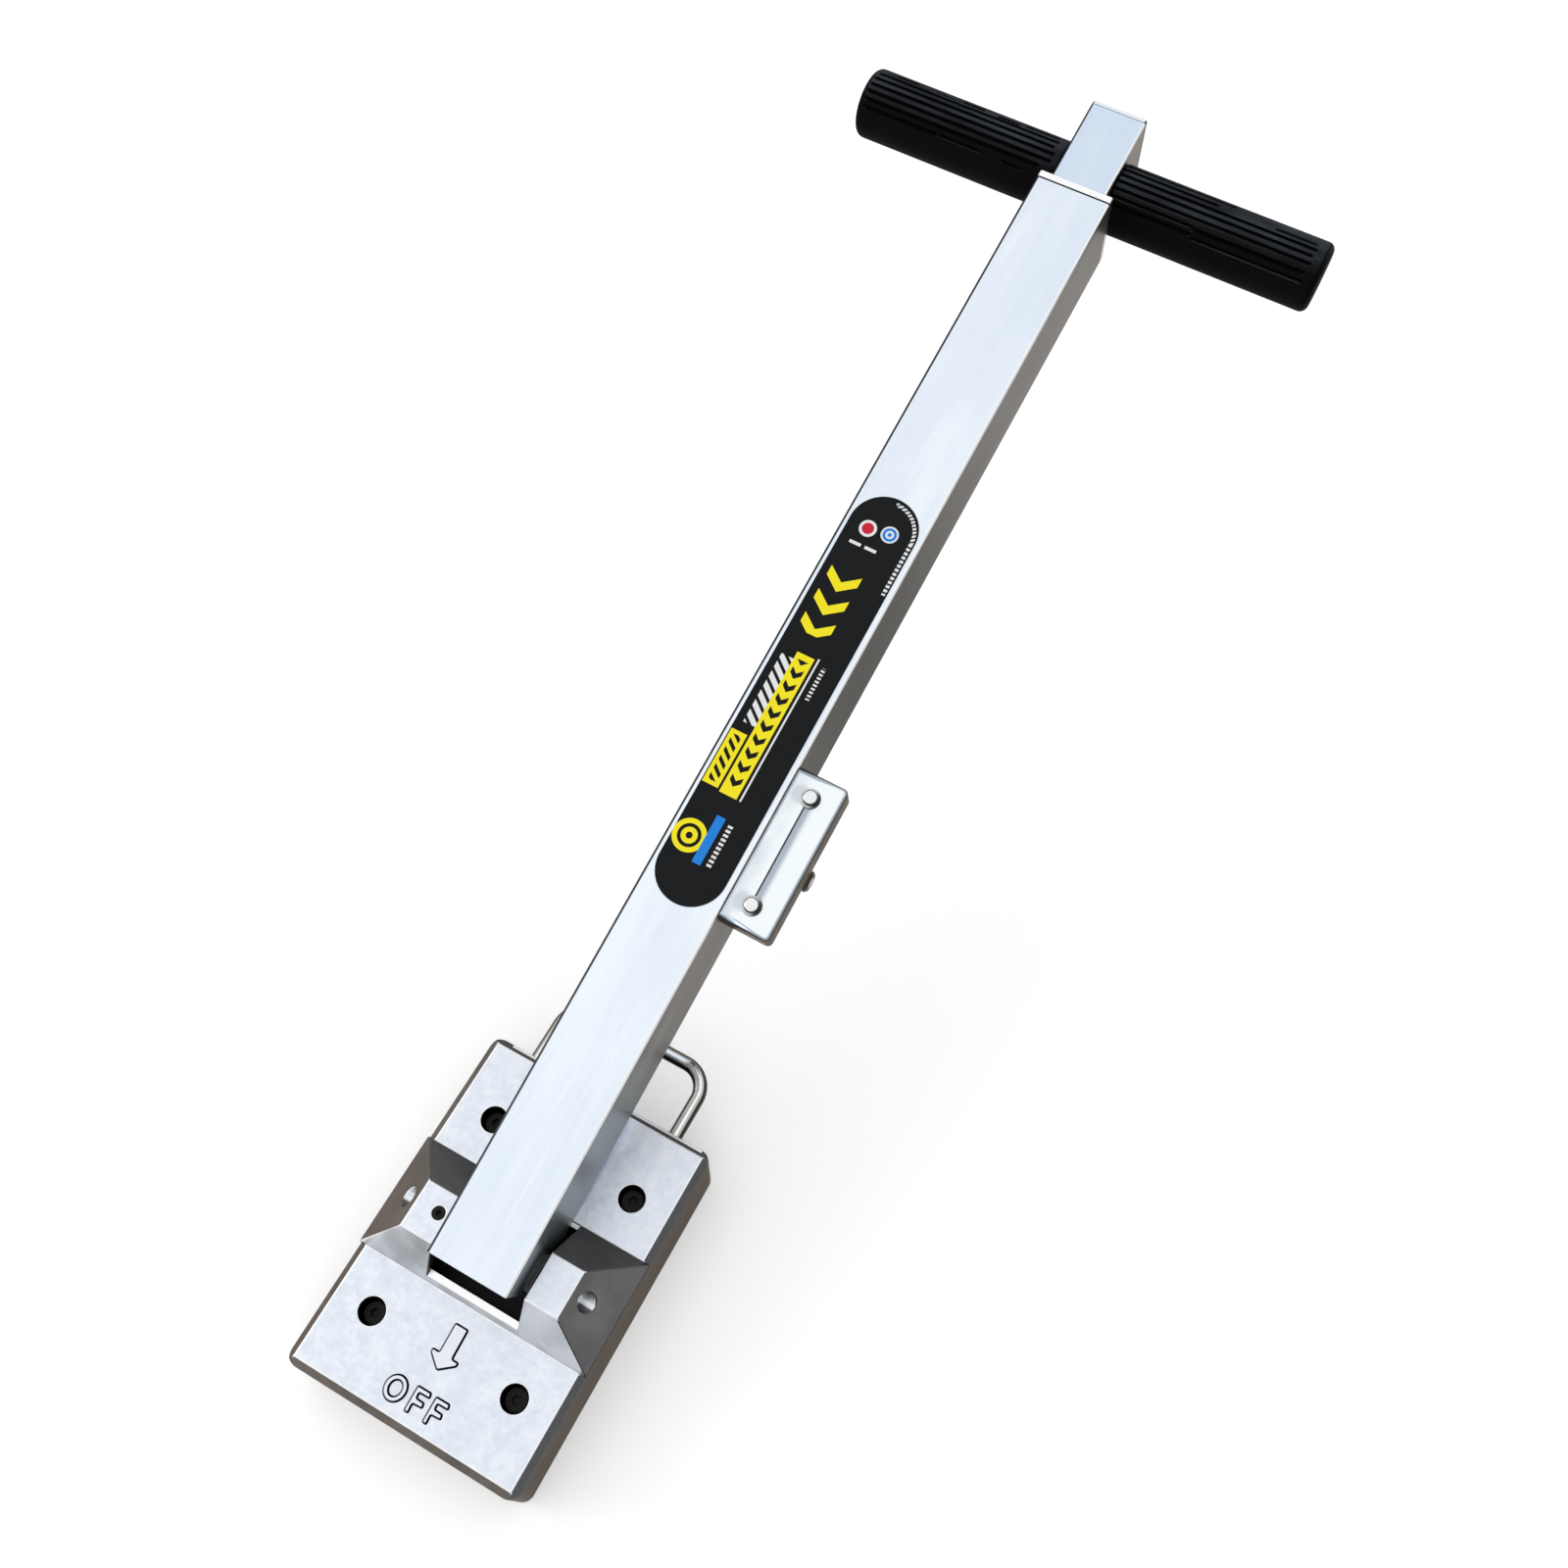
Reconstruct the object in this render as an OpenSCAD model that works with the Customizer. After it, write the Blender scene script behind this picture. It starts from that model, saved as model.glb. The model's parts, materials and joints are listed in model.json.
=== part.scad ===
// Magnetic manhole cover lifter: a cast base full of magnets, with a telescopic
// handle that leans back on it at rest and swings forward to peel the base off.
// +Y runs to the rear, where the handle leans, +X to the latch side, +Z up.
// The origin is the centre of the base's bottom face, which grips the cover.

/* [Base casting] */
// Width of the base, side to side
base_w = 120; // [112:1:136]
// Length of the base, front to rear
base_l = 168; // [160:1:190]
// Height of the base plate, from the cover to its top face
base_h = 44; // [42:0.5:50]
// Radius of the base's upright corners
base_corner_r = 6; // [3:0.5:9]
// Chamfer round the top of the base
rim_chamfer = 3.7; // [1:0.1:5]
// Thickness of the side walls round the magnets
wall_t = 8; // [6:0.5:11]
// Thickness of the casting above the magnets
roof_t = 17; // [16:0.5:19]
// Metal left under the head of each base screw
screw_seat_t = 4; // [3:0.5:5]
// Across the base, screw to screw
screw_span_x = 75; // [70:1:80]
// Along the base, screw to screw
screw_span_y = 97.4; // [92:0.2:104]
// Bore of the base screws' counterbores
counterbore_d = 12.5; // [11.5:0.1:14]

/* [Ears and slot] */
// Rise of the ears above the base plate
ear_rise = 27.3; // [26:0.1:30]
// Width over both ears at their tops
ear_top_w = 80.6; // [74:0.2:88]
// Front edge of the ears' tops, ahead of the base's centre
ear_top_front = 13.5; // [11:0.1:16]
// Rear edge of the ears' tops, behind the base's centre
ear_top_rear = 8.6; // [7.5:0.1:12]
// Front foot of the ears' slope, ahead of the base's centre
ear_foot_front = 26.6; // [25.6:0.1:29]
// Rear foot of the ears' slope, behind the base's centre
ear_foot_rear = 27.5; // [26:0.1:30]
// Free space between the tube's side and each ear
slot_side_gap = 3.8; // [3.6:0.1:5]
// Front wall of the pocket under the tube's foot, ahead of the centre
pocket_front = 21; // [19:0.5:22]
// Rear wall of the pocket under the tube's foot, behind the centre
pocket_rear = 24.3; // [24:0.1:25]

/* [Pivot] */
// Height of the pivot above the base plate
pivot_rise = 18.4; // [17.8:0.1:19.5]
// Distance of the pivot behind the base's centre
pivot_y = -1.1; // [-2:0.1:0]
// Diameter of the pivot pin
pin_d = 9; // [8:0.5:10]
// Flat on the pin under its set screw
pin_flat = 0.6; // [0.3:0.1:1]
// Diameter of the pin's set screw
set_screw_d = 6; // [5:0.5:6.5]
// Set screw's distance out from the ear's inner face
set_screw_inset = 4.8; // [4:0.1:7]
// Outside diameter of the pivot bushes
bush_d = 13; // [12.5:0.5:15]
// Diameter of the bushes' flanges
bush_flange_d = 18; // [17:0.5:20]
// Thickness of the bushes' flanges
bush_flange_t = 2; // [1.5:0.1:2]
// Length of each bush inside the tube
bush_len = 12; // [8:0.5:14]

/* [Handle tube] */
// Lean of the resting handle above the level
lean = 12.1; // [11:0.1:14]
// How far the handle swings up and forward from rest
swing = 85; // [80:1:85]
// Width of the handle tube
tube_w = 40; // [38:0.5:42]
// Height of the handle tube
tube_h = 50; // [48:0.5:52]
// Wall of the handle tube
tube_t = 2.5; // [2:0.1:3]
// Corner radius of the handle tube
tube_corner_r = 1.6; // [0.8:0.1:2]
// Length of the handle tube
tube_len = 584; // [560:2:640]
// Tube's length below the pivot
foot_len = 11.1; // [10.8:0.1:12]
// Height of the tube's top face above the pivot
tube_top = 27.7; // [26.5:0.1:28.5]
// Length of the block that fills the tube's foot
block_len = 26.6; // [24:0.2:27]
// Thickness of the collar at the tube's mouth
collar_t = 4.3; // [3:0.1:6]
// Length of the collar's liner inside the tube
liner_len = 36; // [25:1:60]

/* [Inner tube and crossbar] */
// Width of the inner tube
inner_w = 30; // [29:0.5:31]
// Height of the inner tube
inner_h = 40; // [38.5:0.5:41]
// Wall of the inner tube
inner_t = 2; // [1.6:0.1:2.5]
// Length of the inner tube
inner_len = 600; // [580:2:620]
// How far the inner tube slides out
reach = 165; // [120:5:165]
// Number of lock holes along the inner tube
lock_stops = 3; // [2:1:4]
// Thickness of the cap on the inner tube's end
cap_t = 2.3; // [1.5:0.1:4]
// Length of the shoe that guides the inner tube
shoe_len = 8; // [6:0.5:10]
// Diameter of the crossbar
bar_d = 25; // [22:0.5:26]
// Wall of the crossbar
bar_t = 2.5; // [1.5:0.1:3]
// Width over both grips
grip_span = 254; // [220:2:300]
// Diameter of the grips
grip_d = 35; // [32:0.5:38]
// Rounding of the grips' closed ends
grip_round = 4; // [2:0.5:5]
// Thickness of the grips' closed ends
grip_end_t = 3.2; // [2:0.1:5]

/* [Latch] */
// Middle of the latch cover, from the tube's bottom end
latch_mid = 221.4; // [210:0.2:230]
// Length of the latch cover along the tube
cover_len = 77.6; // [70:0.2:80]
// Width of the latch cover out from the tube
cover_w = 25.2; // [24:0.2:30]
// Depth of the cover's folded rim
cover_depth = 14; // [8:0.5:14]
// Thickness of the cover's sheet
cover_t = 1.6; // [1.2:0.1:2.2]
// Drop of the cover below the tube's top face
cover_drop = 0.8; // [0.5:0.1:3]
// Distance between the cover's two screws
cover_screw_span = 55; // [50:1:58]
// Distance of the cover's screws out from the tube
cover_screw_x = 11.4; // [9:0.2:12]
// Width of the latch block out from the tube
latch_block_w = 16; // [14:0.5:17]
// Length of the latch block along the tube
latch_block_len = 66; // [64:1:69]
// Height of the latch block
latch_block_h = 35; // [33:0.5:38]
// Plunger's distance below the middle of the cover, along the tube
plunger_shift = 2.6; // [0:0.2:4]
// Diameter of the plunger's nose
nose_d = 6; // [5:0.5:7]
// Outside diameter of the plunger's barrel
barrel_d = 13; // [12:0.5:14]
// Diameter of the plunger's pull knob
knob_d = 10.5; // [9:0.5:12]
// Thickness of the plunger's pull knob
knob_t = 4.3; // [3.5:0.1:5]
// How far the plunger pulls out
pull = 5; // [3:0.5:5]

/* [Bail] */
// Diameter of the bail's rod
bail_d = 7; // [6:0.5:8]
// Height of the bail above the cover
bail_z = 33; // [32:0.5:34]
// Width of the bail, leg centre to leg centre
bail_w = 77; // [70:1:84]
// Reach of the bail behind the base, to its rod's centre
bail_reach = 34; // [28:1:40]
// Radius of the bail's two bends, to the rod's centre
bail_bend_r = 13; // [9:0.5:16]
// Depth of the bail's legs in the casting
bail_seat = 16; // [12:0.5:18]

/* [Magnet pack] */
// Thickness of the steel yoke above the magnets
yoke_t = 8; // [6:0.5:9]
// Thickness of the wear plate on the bottom face
wear_t = 2; // [1.8:0.1:3]
// Number of pole bars
pole_count = 5; // [4:1:6]
// Thickness of each pole bar
pole_t = 10; // [9:0.5:12]

/* [Label] */
// Width of the label
label_w = 34; // [30:0.5:36]
// Length of the label
label_len = 217.5; // [180:0.5:230]
// Lower end of the label, from the tube's bottom end
label_start = 179; // [150:1:200]
// Thickness of the label
label_t = 0.4; // [0.3:0.1:0.6]

/* [Clearances] */
// Gap round pieces that are pressed, screwed or bonded in place
seat_gap = 0.05; // [0.02:0.01:0.08]
// Gap round pieces that turn in a bore
running_gap = 0.06; // [0.04:0.01:0.09]
// Gap beside pieces that slide, swing or rest on each other
slide_gap = 0.3; // [0.2:0.05:0.4]

/* [Hidden] */
$fn = 64;

// Cuts reach this far past the faces that they open
over = 1;
// Longer than any piece, for cuts that run right through
far = 400;

// Base: heights from the bottom face
cavity_h = base_h - roof_t;
pivot_z = base_h + pivot_rise;
ear_top_z = base_h + ear_rise;
slot_hw = tube_w / 2 + slot_side_gap;
screw_seat_z = cavity_h + screw_seat_t;
// The foot's lower corner swings on this radius, and the pocket clears it
foot_sweep_r = norm([foot_len, tube_h - tube_top]);
foot_sweep_gap = 2.5;
pocket_floor_z = pivot_z - foot_sweep_r - foot_sweep_gap;
cavity_corner_r = 4;
// Half width of the ears' outer slope at a height above the base
function slope_x(z) = base_w / 2 - (z - base_h) * (base_w - ear_top_w) / 2 / ear_rise;
pin_half_len = slope_x(pivot_z + pin_d / 2) - 0.5;
pin_chamfer = 0.8;
set_screw_x = -slot_hw - set_screw_inset;
set_screw_drop = 0.8;
set_screw_socket_d = 3;

// Screws: M6 cap screws hold the yoke, M4 countersunk screws the wear plate
base_screw_d = 6;
base_screw_head_d = 10;
base_screw_head_h = 6;
base_screw_socket_d = 5;
base_screw_bite = 7;
wear_screw_d = 4;
wear_screw_head_d = 8;
wear_screw_len = 9;
wear_screw_x = 34;
wear_screw_recess = 0.2;

// Magnet pack: fills the cavity between the wear plate and the yoke
pack_w = base_w - 2 * wall_t - 2 * slide_gap;
pack_l = base_l - 2 * wall_t - 2 * slide_gap;
pack_z = wear_t + seat_gap;
pack_h = cavity_h - yoke_t - 2 * seat_gap - pack_z;
pole_pitch = (pack_l - pole_t) / (pole_count - 1);
magnet_w = pole_pitch - pole_t - 2 * seat_gap;
magnet_gap = 0.2;

// Pivot hardware
bush_bore_d = pin_d + 2 * running_gap;
washer_t = slot_side_gap - bush_flange_t - 2 * slide_gap;
washer_d = bush_flange_d + 1;
washer_x = tube_w / 2 + bush_flange_t + slide_gap;

// Handle: measured from the pivot, along the tube (y) and square to its top face (z)
tube_mid_z = tube_top - tube_h / 2;
mouth_y = tube_len - foot_len;
bore_w = tube_w - 2 * tube_t;
bore_h = tube_h - 2 * tube_t;
block_y = -foot_len + 0.5;
block_end_y = block_y + block_len;
block_screw_d = 5;
block_screw_head_d = 10;
block_screw_len = 12;
block_screw_x = 10;
block_screw_y = block_end_y - 5.5;

// Inner tube: its shoe clears the foot block, and the grips come down on the collar
shoe_y = block_end_y + 3;
inner_y = shoe_y + shoe_len;
inner_end_y = inner_y + inner_len;
shoe_plug_len = 9;
shoe_plug_t = 3;
cap_plug_len = 12;
bar_y = mouth_y + collar_t + grip_d / 2 + slide_gap;
bar_len = grip_span - 2 * grip_end_t - 0.6;
bar_screw_d = 5;
bar_screw_head_d = 9.5;
bar_screw_head_h = 2.8;
bar_screw_bite = 1.5;
lock_hole_d = nose_d + 0.6;

// Latch
latch_y = latch_mid - foot_len;
cover_top_z = tube_top - cover_drop;
cover_x = tube_w / 2 + 0.15;
block_top_z = cover_top_z - cover_t;
cover_screw_d = 4;
cover_screw_head_d = 7.2;
cover_screw_head_h = 2.6;
cover_screw_len = 12;
cover_washer_d = 9.4;
cover_washer_t = 0.8;
plunger_y = latch_y - plunger_shift;
nose_x = inner_w / 2 + slide_gap;
barrel_x = tube_w / 2 + 4;
barrel_bore_d = barrel_d - 3.4;
barrel_end_t = 2;
// The nose drops this far into a lock hole before its shoulder lands
nose_travel = 3.6;
shoulder_x = barrel_x + nose_travel;
shoulder_t = 1.5;
spring_wire_d = 0.8;
spring_turns = 5;
// Pulled out, the plunger leaves the spring its closed coils and a little more
spring_pressed_len = (spring_turns + 1) * spring_wire_d + 0.1;
barrel_end_x = shoulder_x + shoulder_t + pull + spring_pressed_len + barrel_end_t;
shoulder_d = barrel_bore_d - 0.5;
stem_d = 5;
knob_thread_d = 3.9;
knob_gap = 0.7;
knob_x = barrel_end_x + knob_gap;
knob_seat = 3;
knob_dimple_d = 4.6;
knob_dimple = 0.7;
spring_x = shoulder_x + shoulder_t;
spring_len = barrel_end_x - barrel_end_t - spring_x;
spring_mid_r = (stem_d + barrel_bore_d) / 4;

// Travel stop: a rivet in the tube's underside that meets the shoe at full reach
stop_d = 6;
stop_head_d = 10;
stop_head_t = 1.5;
stop_y = inner_y + reach + slide_gap + stop_d / 2;
stop_tip_z = tube_top - tube_h + tube_t + (bore_h - inner_h) / 2 - 0.5;

// Everything on the handle is drawn from the pivot and leaned back with it
module on_handle() {
    translate([0, pivot_y, pivot_z]) rotate([lean, 0, 0]) children();
}

// Rectangle with rounded corners, centred
module rounded_rect(w, h, r) {
    square([w - 2 * r, h], center = true);
    square([w, h - 2 * r], center = true);
    for (x = [-1, 1], y = [-1, 1])
        translate([x * (w / 2 - r), y * (h / 2 - r)]) circle(r);
}

// Bar of rounded section along +Y, from y0, centred on the tube's middle
module section_bar(w, h, r, y0, len) {
    translate([0, y0 + len, tube_mid_z]) rotate([90, 0, 0])
        linear_extrude(len) rounded_rect(w, h, r);
}

// Shape turned on the X axis: the children's profile stands on r (x) and x (y)
module turned_x() {
    rotate([0, 90, 0]) rotate_extrude() children();
}

// Round bar along X from x0 to x1
module round_x(d, x0, x1) {
    translate([x0, 0, 0]) rotate([0, 90, 0]) cylinder(d = d, h = x1 - x0);
}

// Places something at each base screw
module at_base_screws() {
    for (x = [-1, 1], y = [-1, 1])
        translate([x * screw_span_x / 2, y * screw_span_y / 2, 0]) children();
}

// Places something at each wear plate screw, on the first, middle and last pole bars
module at_wear_screws() {
    for (i = [0, floor(pole_count / 2), pole_count - 1], x = [-1, 1])
        translate([x * wear_screw_x, -pack_l / 2 + pole_t / 2 + i * pole_pitch, 0]) children();
}

// Plate with chamfered top edges and round upright corners
module base_slab() {
    intersection() {
        linear_extrude(base_h) rounded_rect(base_w, base_l, base_corner_r);
        translate([0, base_l, 0]) rotate([90, 0, 0]) linear_extrude(2 * base_l)
            chamfered_end(base_w);
        translate([-base_w, 0, 0]) rotate([90, 0, 90]) linear_extrude(2 * base_w)
            chamfered_end(base_l);
    }
}

// End view of the slab: a rectangle on the ground with its two top corners cut
module chamfered_end(w) {
    polygon([[-w / 2, 0], [w / 2, 0], [w / 2, base_h - rim_chamfer], [w / 2 - rim_chamfer, base_h],
        [-w / 2 + rim_chamfer, base_h], [-w / 2, base_h - rim_chamfer]]);
}

// Sloped block that the slot divides into two ears
module ear_block() {
    root_z = base_h - rim_chamfer - over;
    intersection() {
        translate([0, base_l / 2, 0]) rotate([90, 0, 0]) linear_extrude(base_l)
            polygon([[-base_w / 2, root_z], [base_w / 2, root_z], [base_w / 2, base_h],
                [ear_top_w / 2, ear_top_z], [-ear_top_w / 2, ear_top_z], [-base_w / 2, base_h]]);
        translate([-base_w / 2, 0, 0]) rotate([90, 0, 90]) linear_extrude(base_w)
            polygon([[-ear_foot_front, root_z], [ear_foot_rear, root_z], [ear_foot_rear, base_h],
                [ear_top_rear, ear_top_z], [-ear_top_front, ear_top_z], [-ear_foot_front, base_h]]);
    }
}

// Space that the handle needs between the ears: at rest, fully raised (above the plate), and for its foot
module handle_slot() {
    translate([-slot_hw, 0, 0]) rotate([90, 0, 90]) linear_extrude(2 * slot_hw) {
        translate([pivot_y, pivot_z]) rotate(lean)
            translate([-foot_len - over, tube_top - tube_h - slide_gap]) square([far, far]);
        intersection() {
            translate([pivot_y, pivot_z]) rotate(lean + swing)
                translate([-foot_len - slide_gap, -far / 2]) square(far);
            translate([-far / 2, base_h]) square(far);
        }
        translate([-pocket_front, pocket_floor_z]) square([pocket_front + pocket_rear, pivot_rise]);
    }
}

module base_casting() {
    color("gainsboro") difference() {
        union() {
            base_slab();
            ear_block();
        }
        handle_slot();
        translate([0, 0, -over]) linear_extrude(cavity_h + over)
            rounded_rect(base_w - 2 * wall_t, base_l - 2 * wall_t, cavity_corner_r);
        at_base_screws() {
            translate([0, 0, screw_seat_z]) cylinder(d = counterbore_d, h = base_h);
            cylinder(d = base_screw_d + 0.6, h = base_h);
        }
        translate([0, pivot_y, pivot_z]) round_x(pin_d + 2 * seat_gap, -base_w, base_w);
        translate([set_screw_x, pivot_y, pivot_z]) cylinder(d = set_screw_d + 2 * seat_gap, h = base_h);
        for (x = [-1, 1])
            translate([x * bail_w / 2, base_l / 2 - bail_seat, bail_z]) rotate([-90, 0, 0])
                cylinder(d = bail_d + 2 * seat_gap, h = base_l);
    }
}

module magnet_yoke() {
    color("slategray") difference() {
        translate([0, 0, cavity_h - yoke_t - seat_gap]) linear_extrude(yoke_t)
            rounded_rect(pack_w, pack_l, cavity_corner_r);
        at_base_screws() cylinder(d = base_screw_d + 2 * seat_gap, h = base_h);
    }
}

module pole_bars() {
    color("lightslategray") difference() {
        for (i = [0 : pole_count - 1])
            intersection() {
                translate([-pack_w / 2, -pack_l / 2 + i * pole_pitch, pack_z])
                    cube([pack_w, pole_t, pack_h]);
                translate([0, 0, pack_z]) linear_extrude(pack_h)
                    rounded_rect(pack_w, pack_l, cavity_corner_r);
            }
        at_wear_screws() cylinder(d = wear_screw_d + 2 * seat_gap, h = wear_screw_len + 2);
    }
}

module magnets() {
    magnet_l = (pack_w - magnet_gap) / 2;
    color("dimgray") for (i = [0 : pole_count - 2], side = [0, 1])
        translate([-pack_w / 2 + side * (magnet_l + magnet_gap),
            -pack_l / 2 + pole_t + seat_gap + i * pole_pitch, pack_z])
            cube([magnet_l, magnet_w, pack_h]);
}

module wear_plate() {
    color("silver") difference() {
        linear_extrude(wear_t) rounded_rect(pack_w, pack_l, cavity_corner_r);
        at_wear_screws() {
            translate([0, 0, -over]) cylinder(d = wear_screw_d + 0.5, h = wear_t + 2 * over);
            translate([0, 0, -0.01]) cylinder(d1 = wear_screw_head_d + 0.4, d2 = wear_screw_d + 0.4, h = 2);
        }
    }
}

module wear_plate_screws() {
    head_h = (wear_screw_head_d - wear_screw_d) / 2 - wear_screw_recess;
    color("gray") at_wear_screws() translate([0, 0, wear_screw_recess]) {
        cylinder(d1 = wear_screw_head_d - 2 * wear_screw_recess, d2 = wear_screw_d, h = head_h);
        cylinder(d = wear_screw_d, h = wear_screw_len);
    }
}

module base_screws() {
    color("black") at_base_screws() difference() {
        union() {
            translate([0, 0, screw_seat_z]) cylinder(d = base_screw_head_d, h = base_screw_head_h);
            translate([0, 0, cavity_h - base_screw_bite])
                cylinder(d = base_screw_d, h = base_screw_bite + screw_seat_t);
        }
        translate([0, 0, screw_seat_z + base_screw_head_h - 3])
            cylinder(d = base_screw_socket_d, h = 4, $fn = 6);
    }
}

// Flat U of round rod, its two legs seated in the casting's rear wall
module bail() {
    leg_y = base_l / 2 - bail_seat;
    bend_y = base_l / 2 + bail_reach - bail_bend_r;
    cross_hw = bail_w / 2 - bail_bend_r;
    color("silver") translate([0, 0, bail_z]) {
        for (x = [-1, 1]) {
            translate([x * bail_w / 2, leg_y, 0]) rotate([-90, 0, 0])
                cylinder(d = bail_d, h = bend_y - leg_y);
            translate([x * cross_hw, bend_y, 0]) rotate([0, 0, x > 0 ? 0 : 90])
                rotate_extrude(angle = 90) translate([bail_bend_r, 0]) circle(d = bail_d);
        }
        translate([0, bend_y + bail_bend_r, 0]) round_x(bail_d, -cross_hw, cross_hw);
    }
}

module pivot_pin() {
    color("silver") translate([0, pivot_y, pivot_z]) difference() {
        union() {
            round_x(pin_d, -pin_half_len + pin_chamfer, pin_half_len - pin_chamfer);
            for (x = [-1, 1]) translate([x * (pin_half_len - pin_chamfer), 0, 0])
                rotate([0, x * 90, 0]) cylinder(d1 = pin_d, d2 = pin_d - 2 * pin_chamfer, h = pin_chamfer);
        }
        translate([set_screw_x - set_screw_d / 2 - 0.5, -pin_d, pin_d / 2 - pin_flat])
            cube([set_screw_d + 1, 2 * pin_d, pin_d]);
    }
}

module pin_set_screw() {
    foot_z = pivot_z + pin_d / 2 - pin_flat + seat_gap;
    top_z = ear_top_z - set_screw_drop;
    color("black") translate([set_screw_x, pivot_y, foot_z]) difference() {
        cylinder(d = set_screw_d, h = top_z - foot_z);
        translate([0, 0, (top_z - foot_z) / 2])
            cylinder(d = set_screw_socket_d, h = top_z - foot_z, $fn = 6);
    }
}

module pivot_washers() {
    color("white") translate([0, pivot_y, pivot_z]) for (x = [washer_x, -washer_x - washer_t])
        difference() {
            round_x(washer_d, x, x + washer_t);
            round_x(pin_d + 2 * running_gap, x - over, x + washer_t + over);
        }
}

module outer_tube() {
    color("lightsteelblue") on_handle() difference() {
        section_bar(tube_w, tube_h, tube_corner_r, -foot_len, tube_len);
        section_bar(bore_w, bore_h, tube_corner_r / 2, -foot_len - over, tube_len + 2 * over);
        round_x(bush_d + 2 * seat_gap, -tube_w, tube_w);
        translate([0, plunger_y, tube_mid_z]) round_x(nose_d + 2 * running_gap, 0, tube_w);
        translate([0, 0, tube_top - tube_h - over]) {
            translate([0, stop_y, 0]) cylinder(d = stop_d + 2 * seat_gap, h = tube_h / 2);
            at_block_screws() cylinder(d = block_screw_head_d + 2 * seat_gap, h = tube_t + over + 0.5);
        }
    }
}

// Places something at each of the two screws in the tube's foot
module at_block_screws() {
    for (x = [-1, 1]) translate([x * block_screw_x, block_screw_y, 0]) children();
}

module pivot_block() {
    color("lightgray") on_handle() difference() {
        section_bar(bore_w - 2 * seat_gap, bore_h - 2 * seat_gap, tube_corner_r / 2, block_y, block_len);
        round_x(bush_d + 2 * seat_gap, -tube_w, tube_w);
        translate([0, 0, tube_top - tube_h]) at_block_screws()
            cylinder(d = block_screw_d + 2 * seat_gap, h = block_screw_len + 1);
    }
}

module pivot_bushes() {
    color("goldenrod") on_handle() for (side = [-1, 1]) mirror([side < 0 ? 1 : 0, 0, 0])
        difference() {
            union() {
                round_x(bush_d, tube_w / 2 - bush_len, tube_w / 2 + bush_flange_t);
                round_x(bush_flange_d, tube_w / 2, tube_w / 2 + bush_flange_t);
            }
            round_x(bush_bore_d, 0, tube_w);
        }
}

module block_screws() {
    color("gray") on_handle() translate([0, 0, tube_top - tube_h]) at_block_screws() {
        translate([0, 0, 0.2]) cylinder(d = block_screw_head_d, h = tube_t - 0.2);
        cylinder(d = block_screw_d, h = block_screw_len);
    }
}

module mouth_collar() {
    color("gainsboro") on_handle() difference() {
        union() {
            section_bar(tube_w, tube_h, tube_corner_r, mouth_y, collar_t);
            section_bar(bore_w - 2 * seat_gap, bore_h - 2 * seat_gap, tube_corner_r / 2,
                mouth_y - liner_len, liner_len + over);
        }
        section_bar(inner_w + 2 * slide_gap, inner_h + 2 * slide_gap, tube_corner_r / 2,
            mouth_y - liner_len - over, liner_len + collar_t + 2 * over);
    }
}

module travel_stop() {
    under_z = tube_top - tube_h;
    color("silver") on_handle() translate([0, stop_y, 0]) {
        translate([0, 0, under_z - stop_head_t]) cylinder(d = stop_head_d, h = stop_head_t);
        translate([0, 0, under_z - over]) cylinder(d = stop_d, h = stop_tip_z - under_z + over);
    }
}

module label() {
    r = label_w / 2;
    run = label_len - label_w;
    color("black") on_handle() translate([0, label_start - foot_len + r, tube_top])
        linear_extrude(label_t) {
            circle(r);
            translate([0, run]) circle(r);
            translate([-r, 0]) square([label_w, run]);
        }
}

// Places something at each of the latch cover's screws, on the cover's top face
module at_cover_screws() {
    for (y = [-1, 1])
        translate([tube_w / 2 + cover_screw_x, latch_y + y * cover_screw_span / 2, cover_top_z]) children();
}

module latch_block() {
    color("silver") on_handle() difference() {
        translate([tube_w / 2, latch_y - latch_block_len / 2, block_top_z - latch_block_h])
            cube([latch_block_w, latch_block_len, latch_block_h]);
        translate([0, plunger_y, tube_mid_z]) {
            round_x(nose_d + 2 * running_gap, 0, barrel_x + over);
            round_x(barrel_d + 2 * seat_gap, barrel_x, far);
        }
        at_cover_screws() translate([0, 0, -cover_t - cover_screw_len])
            cylinder(d = cover_screw_d + 2 * seat_gap, h = far);
    }
}

// Pressed sheet lid with a rim folded down on its outer side and both ends
module latch_cover() {
    r = 2.2;
    color("aliceblue") on_handle() difference() {
        translate([0, 0, cover_top_z - cover_depth]) linear_extrude(cover_depth)
            cover_outline(cover_len, cover_w, r);
        translate([0, 0, cover_top_z - cover_depth - over]) linear_extrude(cover_depth - cover_t + over)
            cover_outline(cover_len - 2 * cover_t, cover_w - cover_t, r - cover_t);
        at_cover_screws() translate([0, 0, -far / 2]) cylinder(d = cover_screw_d + 0.5, h = far);
    }
}

// Plan of the latch cover: square against the tube, rounded on its outer corners
module cover_outline(len, w, r) {
    translate([cover_x, latch_y - len / 2]) {
        square([w - r, len]);
        translate([0, r]) square([w, len - 2 * r]);
        for (y = [r, len - r]) translate([w - r, y]) circle(r);
    }
}

module cover_screws() {
    round_r = 1.2;
    color("silver") on_handle() at_cover_screws() translate([0, 0, cover_washer_t]) {
        rotate_extrude() {
            square([cover_screw_head_d / 2, cover_screw_head_h - round_r]);
            square([cover_screw_head_d / 2 - round_r, cover_screw_head_h]);
            translate([cover_screw_head_d / 2 - round_r, cover_screw_head_h - round_r]) circle(round_r);
        }
        translate([0, 0, -cover_washer_t - cover_screw_len]) cylinder(d = cover_screw_d, h = cover_screw_len + over);
    }
}

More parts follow.
